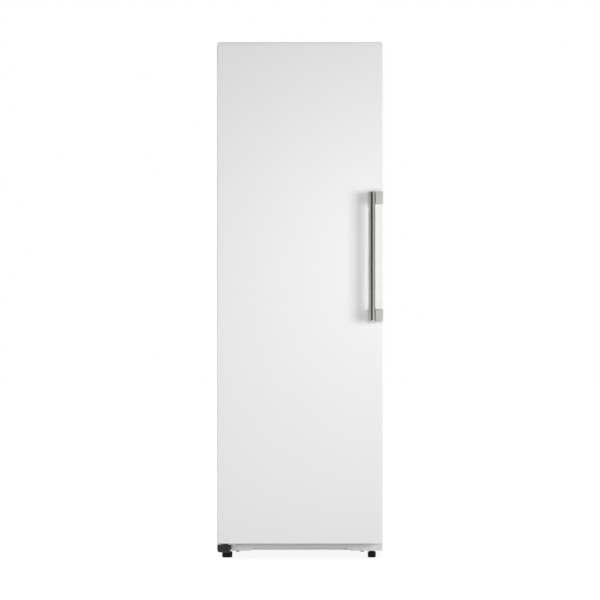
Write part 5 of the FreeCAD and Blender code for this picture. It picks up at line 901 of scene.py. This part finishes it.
# Soft lamps: name, place, what they face, width and height, watts, and whether metals mirror them.
# The handle's shadow in the photograph gives the key's direction, and the door's evenness the rest.
LAMPS = (
    ("key", (5.91, -4.93, 0.95), (0, -0.31, 0.95), (3.1, 3.6), 410, False),
    ("key_glint", (3.1, -1.9, 0.95), (0.2, -0.31, 0.95), (3.0, 3.2), 20, True),
    ("left_glint", (-3.0, -2.0, 0.95), (0, -0.31, 0.95), (2.2, 3.2), 16, True),
    ("left_fill", (-2.2, -2.6, 1.1), (0, -0.31, 1.0), (1.2, 2.0), 15, False),
    ("front", (0.3, -1.6, 1.12), (0.3, -0.31, 1.12), (0.3, 0.6), 5.2, False),
    ("low_front", (-0.35, -1.6, 0.1), (-0.25, -0.31, 0.06), (1.6, 0.2), 1.9, False),
    ("left_side", (-4.0, 1.0, 1.2), (-0.3, 0.05, 0.9), (2.0, 2.0), 45, False),
    ("right_side", (4.0, 1.6, 1.2), (0.3, 0.05, 0.9), (2.0, 2.0), 8, False),
    ("rear", (-0.8, 4.2, 1.6), (0, 0.34, 0.9), (6.0, 4.0), 120, True),
    ("overhead", (0.0, 0.9, 4.6), (0, 0.1, 1.8), (4.0, 3.0), 40, True),
)


def add_lamp(name, place, target, size, watts, in_reflections):
    """A rectangular soft lamp that faces a point; reflections may leave it out."""
    data = bpy.data.lights.new(name, "AREA")
    data.shape = "RECTANGLE"
    data.size, data.size_y = size
    data.energy = watts
    lamp = bpy.data.objects.new(name, data)
    bpy.context.scene.collection.objects.link(lamp)
    lamp.location = place
    lamp.rotation_euler = (Vector(target) - Vector(place)).to_track_quat("-Z", "Y").to_euler()
    lamp.visible_camera = False
    lamp.visible_glossy = in_reflections


def add_camera(scene, door_face):
    """The photograph's camera: level, straight in front of the door."""
    data = bpy.data.cameras.new("camera")
    data.sensor_width = SENSOR
    width = CAD_BOUNDS[1].x - CAD_BOUNDS[0].x
    data.lens = SENSOR * CAMERA_DISTANCE * DOOR_WIDTH_IN_VIEW / width
    data.clip_end = VIEW_END
    camera = bpy.data.objects.new("camera", data)
    scene.collection.objects.link(camera)
    camera.location = (0, door_face - CAMERA_DISTANCE, CAMERA_HEIGHT)
    camera.rotation_euler = (QUARTER, 0, 0)
    scene.camera = camera


def white_surroundings():
    """A world that is pure white to the camera, fainter in reflections and faint as light."""
    world = bpy.data.worlds.new("white_surroundings")
    world.use_nodes = True
    tree = world.node_tree
    tree.nodes.clear()
    path = add_node(tree, "ShaderNodeLightPath").outputs
    mirrored = add_node(tree, "ShaderNodeMapRange", {
        "Value": path["Is Glossy Ray"], "To Min": WORLD_LIGHT, "To Max": WORLD_MIRRORED})
    seen = add_node(tree, "ShaderNodeMath",
                    {0: path["Is Camera Ray"], 1: path["Is Transmission Ray"]}, operation="MAXIMUM")
    strength = add_node(tree, "ShaderNodeMath", {0: seen.outputs[0], 1: mirrored.outputs["Result"]},
                        operation="MAXIMUM")
    sky = add_node(tree, "ShaderNodeBackground", {"Color": WHITE, "Strength": strength.outputs[0]})
    add_node(tree, "ShaderNodeOutputWorld", {"Surface": sky.outputs[0]})
    return world


def pale_floor():
    """A matt floor that also glows, but only to the camera and to what metal and glass send on.

    Near the freezer the glow leaves room for its shadow; further off the floor is pure white.
    """
    material, tree, _ = new_material("pale_floor")
    tree.nodes.clear()
    matt = add_node(tree, "ShaderNodeBsdfDiffuse", {"Color": (*(FLOOR_SHADE,) * 3, 1.0)})
    place = add_node(tree, "ShaderNodeTexCoord").outputs["Object"]
    away = add_node(tree, "ShaderNodeVectorMath", {0: place}, operation="LENGTH")
    glowing = add_node(tree, "ShaderNodeMapRange", {
        "Value": away.outputs["Value"], "From Min": FLOOR_FADE[0], "From Max": FLOOR_FADE[1],
        "To Min": FLOOR_GLOW[0], "To Max": FLOOR_GLOW[1]})
    path = add_node(tree, "ShaderNodeLightPath").outputs
    shiny = add_node(tree, "ShaderNodeMath",
                     {0: path["Is Glossy Ray"], 1: path["Is Transmission Ray"]}, operation="MAXIMUM")
    seen = add_node(tree, "ShaderNodeMath", {0: shiny.outputs[0], 1: path["Is Camera Ray"]},
                    operation="MAXIMUM")
    strength = add_node(tree, "ShaderNodeMath", {0: glowing.outputs["Result"], 1: seen.outputs[0]},
                        operation="MULTIPLY")
    glow = add_node(tree, "ShaderNodeEmission", {"Color": WHITE, "Strength": strength.outputs[0]})
    both = add_node(tree, "ShaderNodeAddShader", {0: matt.outputs[0], 1: glow.outputs[0]})
    add_node(tree, "ShaderNodeOutputMaterial", {"Surface": both.outputs[0]})
    return material


class FREEZER_OT_stage(bpy.types.Operator):
    """Set up the camera, the soft lamps, the pale floor and the white surroundings"""
    bl_idname = "freezer.stage"
    bl_label = "Stage"

    def execute(self, context):
        door_face = CAD_BOUNDS[0].y + BAR_REACH
        add_camera(context.scene, door_face)
        context.scene.view_settings.view_transform = "Standard"
        context.scene.world = white_surroundings()
        for lamp in LAMPS:
            add_lamp(*lamp)

        side = np.linspace(-FLOOR_HALF, FLOOR_HALF, 9)
        across, deep = np.meshgrid(side, side, indexing="ij")
        level = np.zeros_like(across)
        floor = surface_piece("floor", (np.stack([across, deep, level], axis=-1), "sheet"))
        wear(floor, pale_floor())

        # A dark card behind the camera, seen only in reflections: it draws the bar's dark stripe.
        across, high = np.meshgrid(CARD_ENDS, (-CARD_HALF_HEIGHT, CARD_HALF_HEIGHT), indexing="ij")
        behind = np.full_like(across, door_face - CAMERA_DISTANCE - CARD_BEHIND_CAMERA)
        corners = np.stack([across, behind, high + CAMERA_HEIGHT], axis=-1)
        card = surface_piece("dark_card", (corners, "sheet"))
        black, _, shader = new_material("dark_card")
        for socket, setting in (("Base Color", BLACK), ("Emission Color", WHITE),
                                ("Emission Strength", CARD_GLOW)):
            shader.inputs[socket].default_value = setting
        wear(card, black)
        for ray in ("visible_camera", "visible_diffuse", "visible_shadow", "visible_transmission"):
            setattr(card, ray, False)
        return {"FINISHED"}


class FREEZER_PT_panel(bpy.types.Panel):
    """The freezer's sizes, colours and steps"""
    bl_idname = "FREEZER_PT_panel"
    bl_label = "Freezer"
    bl_space_type = "VIEW_3D"
    bl_region_type = "UI"
    bl_category = "Freezer"

    def draw(self, context):
        for group in (context.scene.freezer_sizes, context.scene.freezer_colours):
            for name in group.__annotations__:
                self.layout.prop(group, name)
        for operator in OPERATORS:
            self.layout.operator(operator.bl_idname)


OPERATORS = (FREEZER_OT_finishes, FREEZER_OT_handle_bar, FREEZER_OT_gasket, FREEZER_OT_drawers,
             FREEZER_OT_flaps, FREEZER_OT_controls, FREEZER_OT_feet, FREEZER_OT_screws,
             FREEZER_OT_rounded_edges, FREEZER_OT_stage)
CLASSES = (FreezerSizes, FreezerColours, *OPERATORS, FREEZER_PT_panel)


def register():
    """Registers the classes and their settings on the scene."""
    for made in CLASSES:
        bpy.utils.register_class(made)
    bpy.types.Scene.freezer_sizes = PointerProperty(type=FreezerSizes)
    bpy.types.Scene.freezer_colours = PointerProperty(type=FreezerColours)


def unregister():
    """Removes what register added."""
    del bpy.types.Scene.freezer_colours
    del bpy.types.Scene.freezer_sizes
    for made in reversed(CLASSES):
        bpy.utils.unregister_class(made)


def main():
    """Runs every step in order."""
    register()
    for operator in OPERATORS:
        group, name = operator.bl_idname.split(".")
        getattr(getattr(bpy.ops, group), name)()


if __name__ == "__main__":
    main()
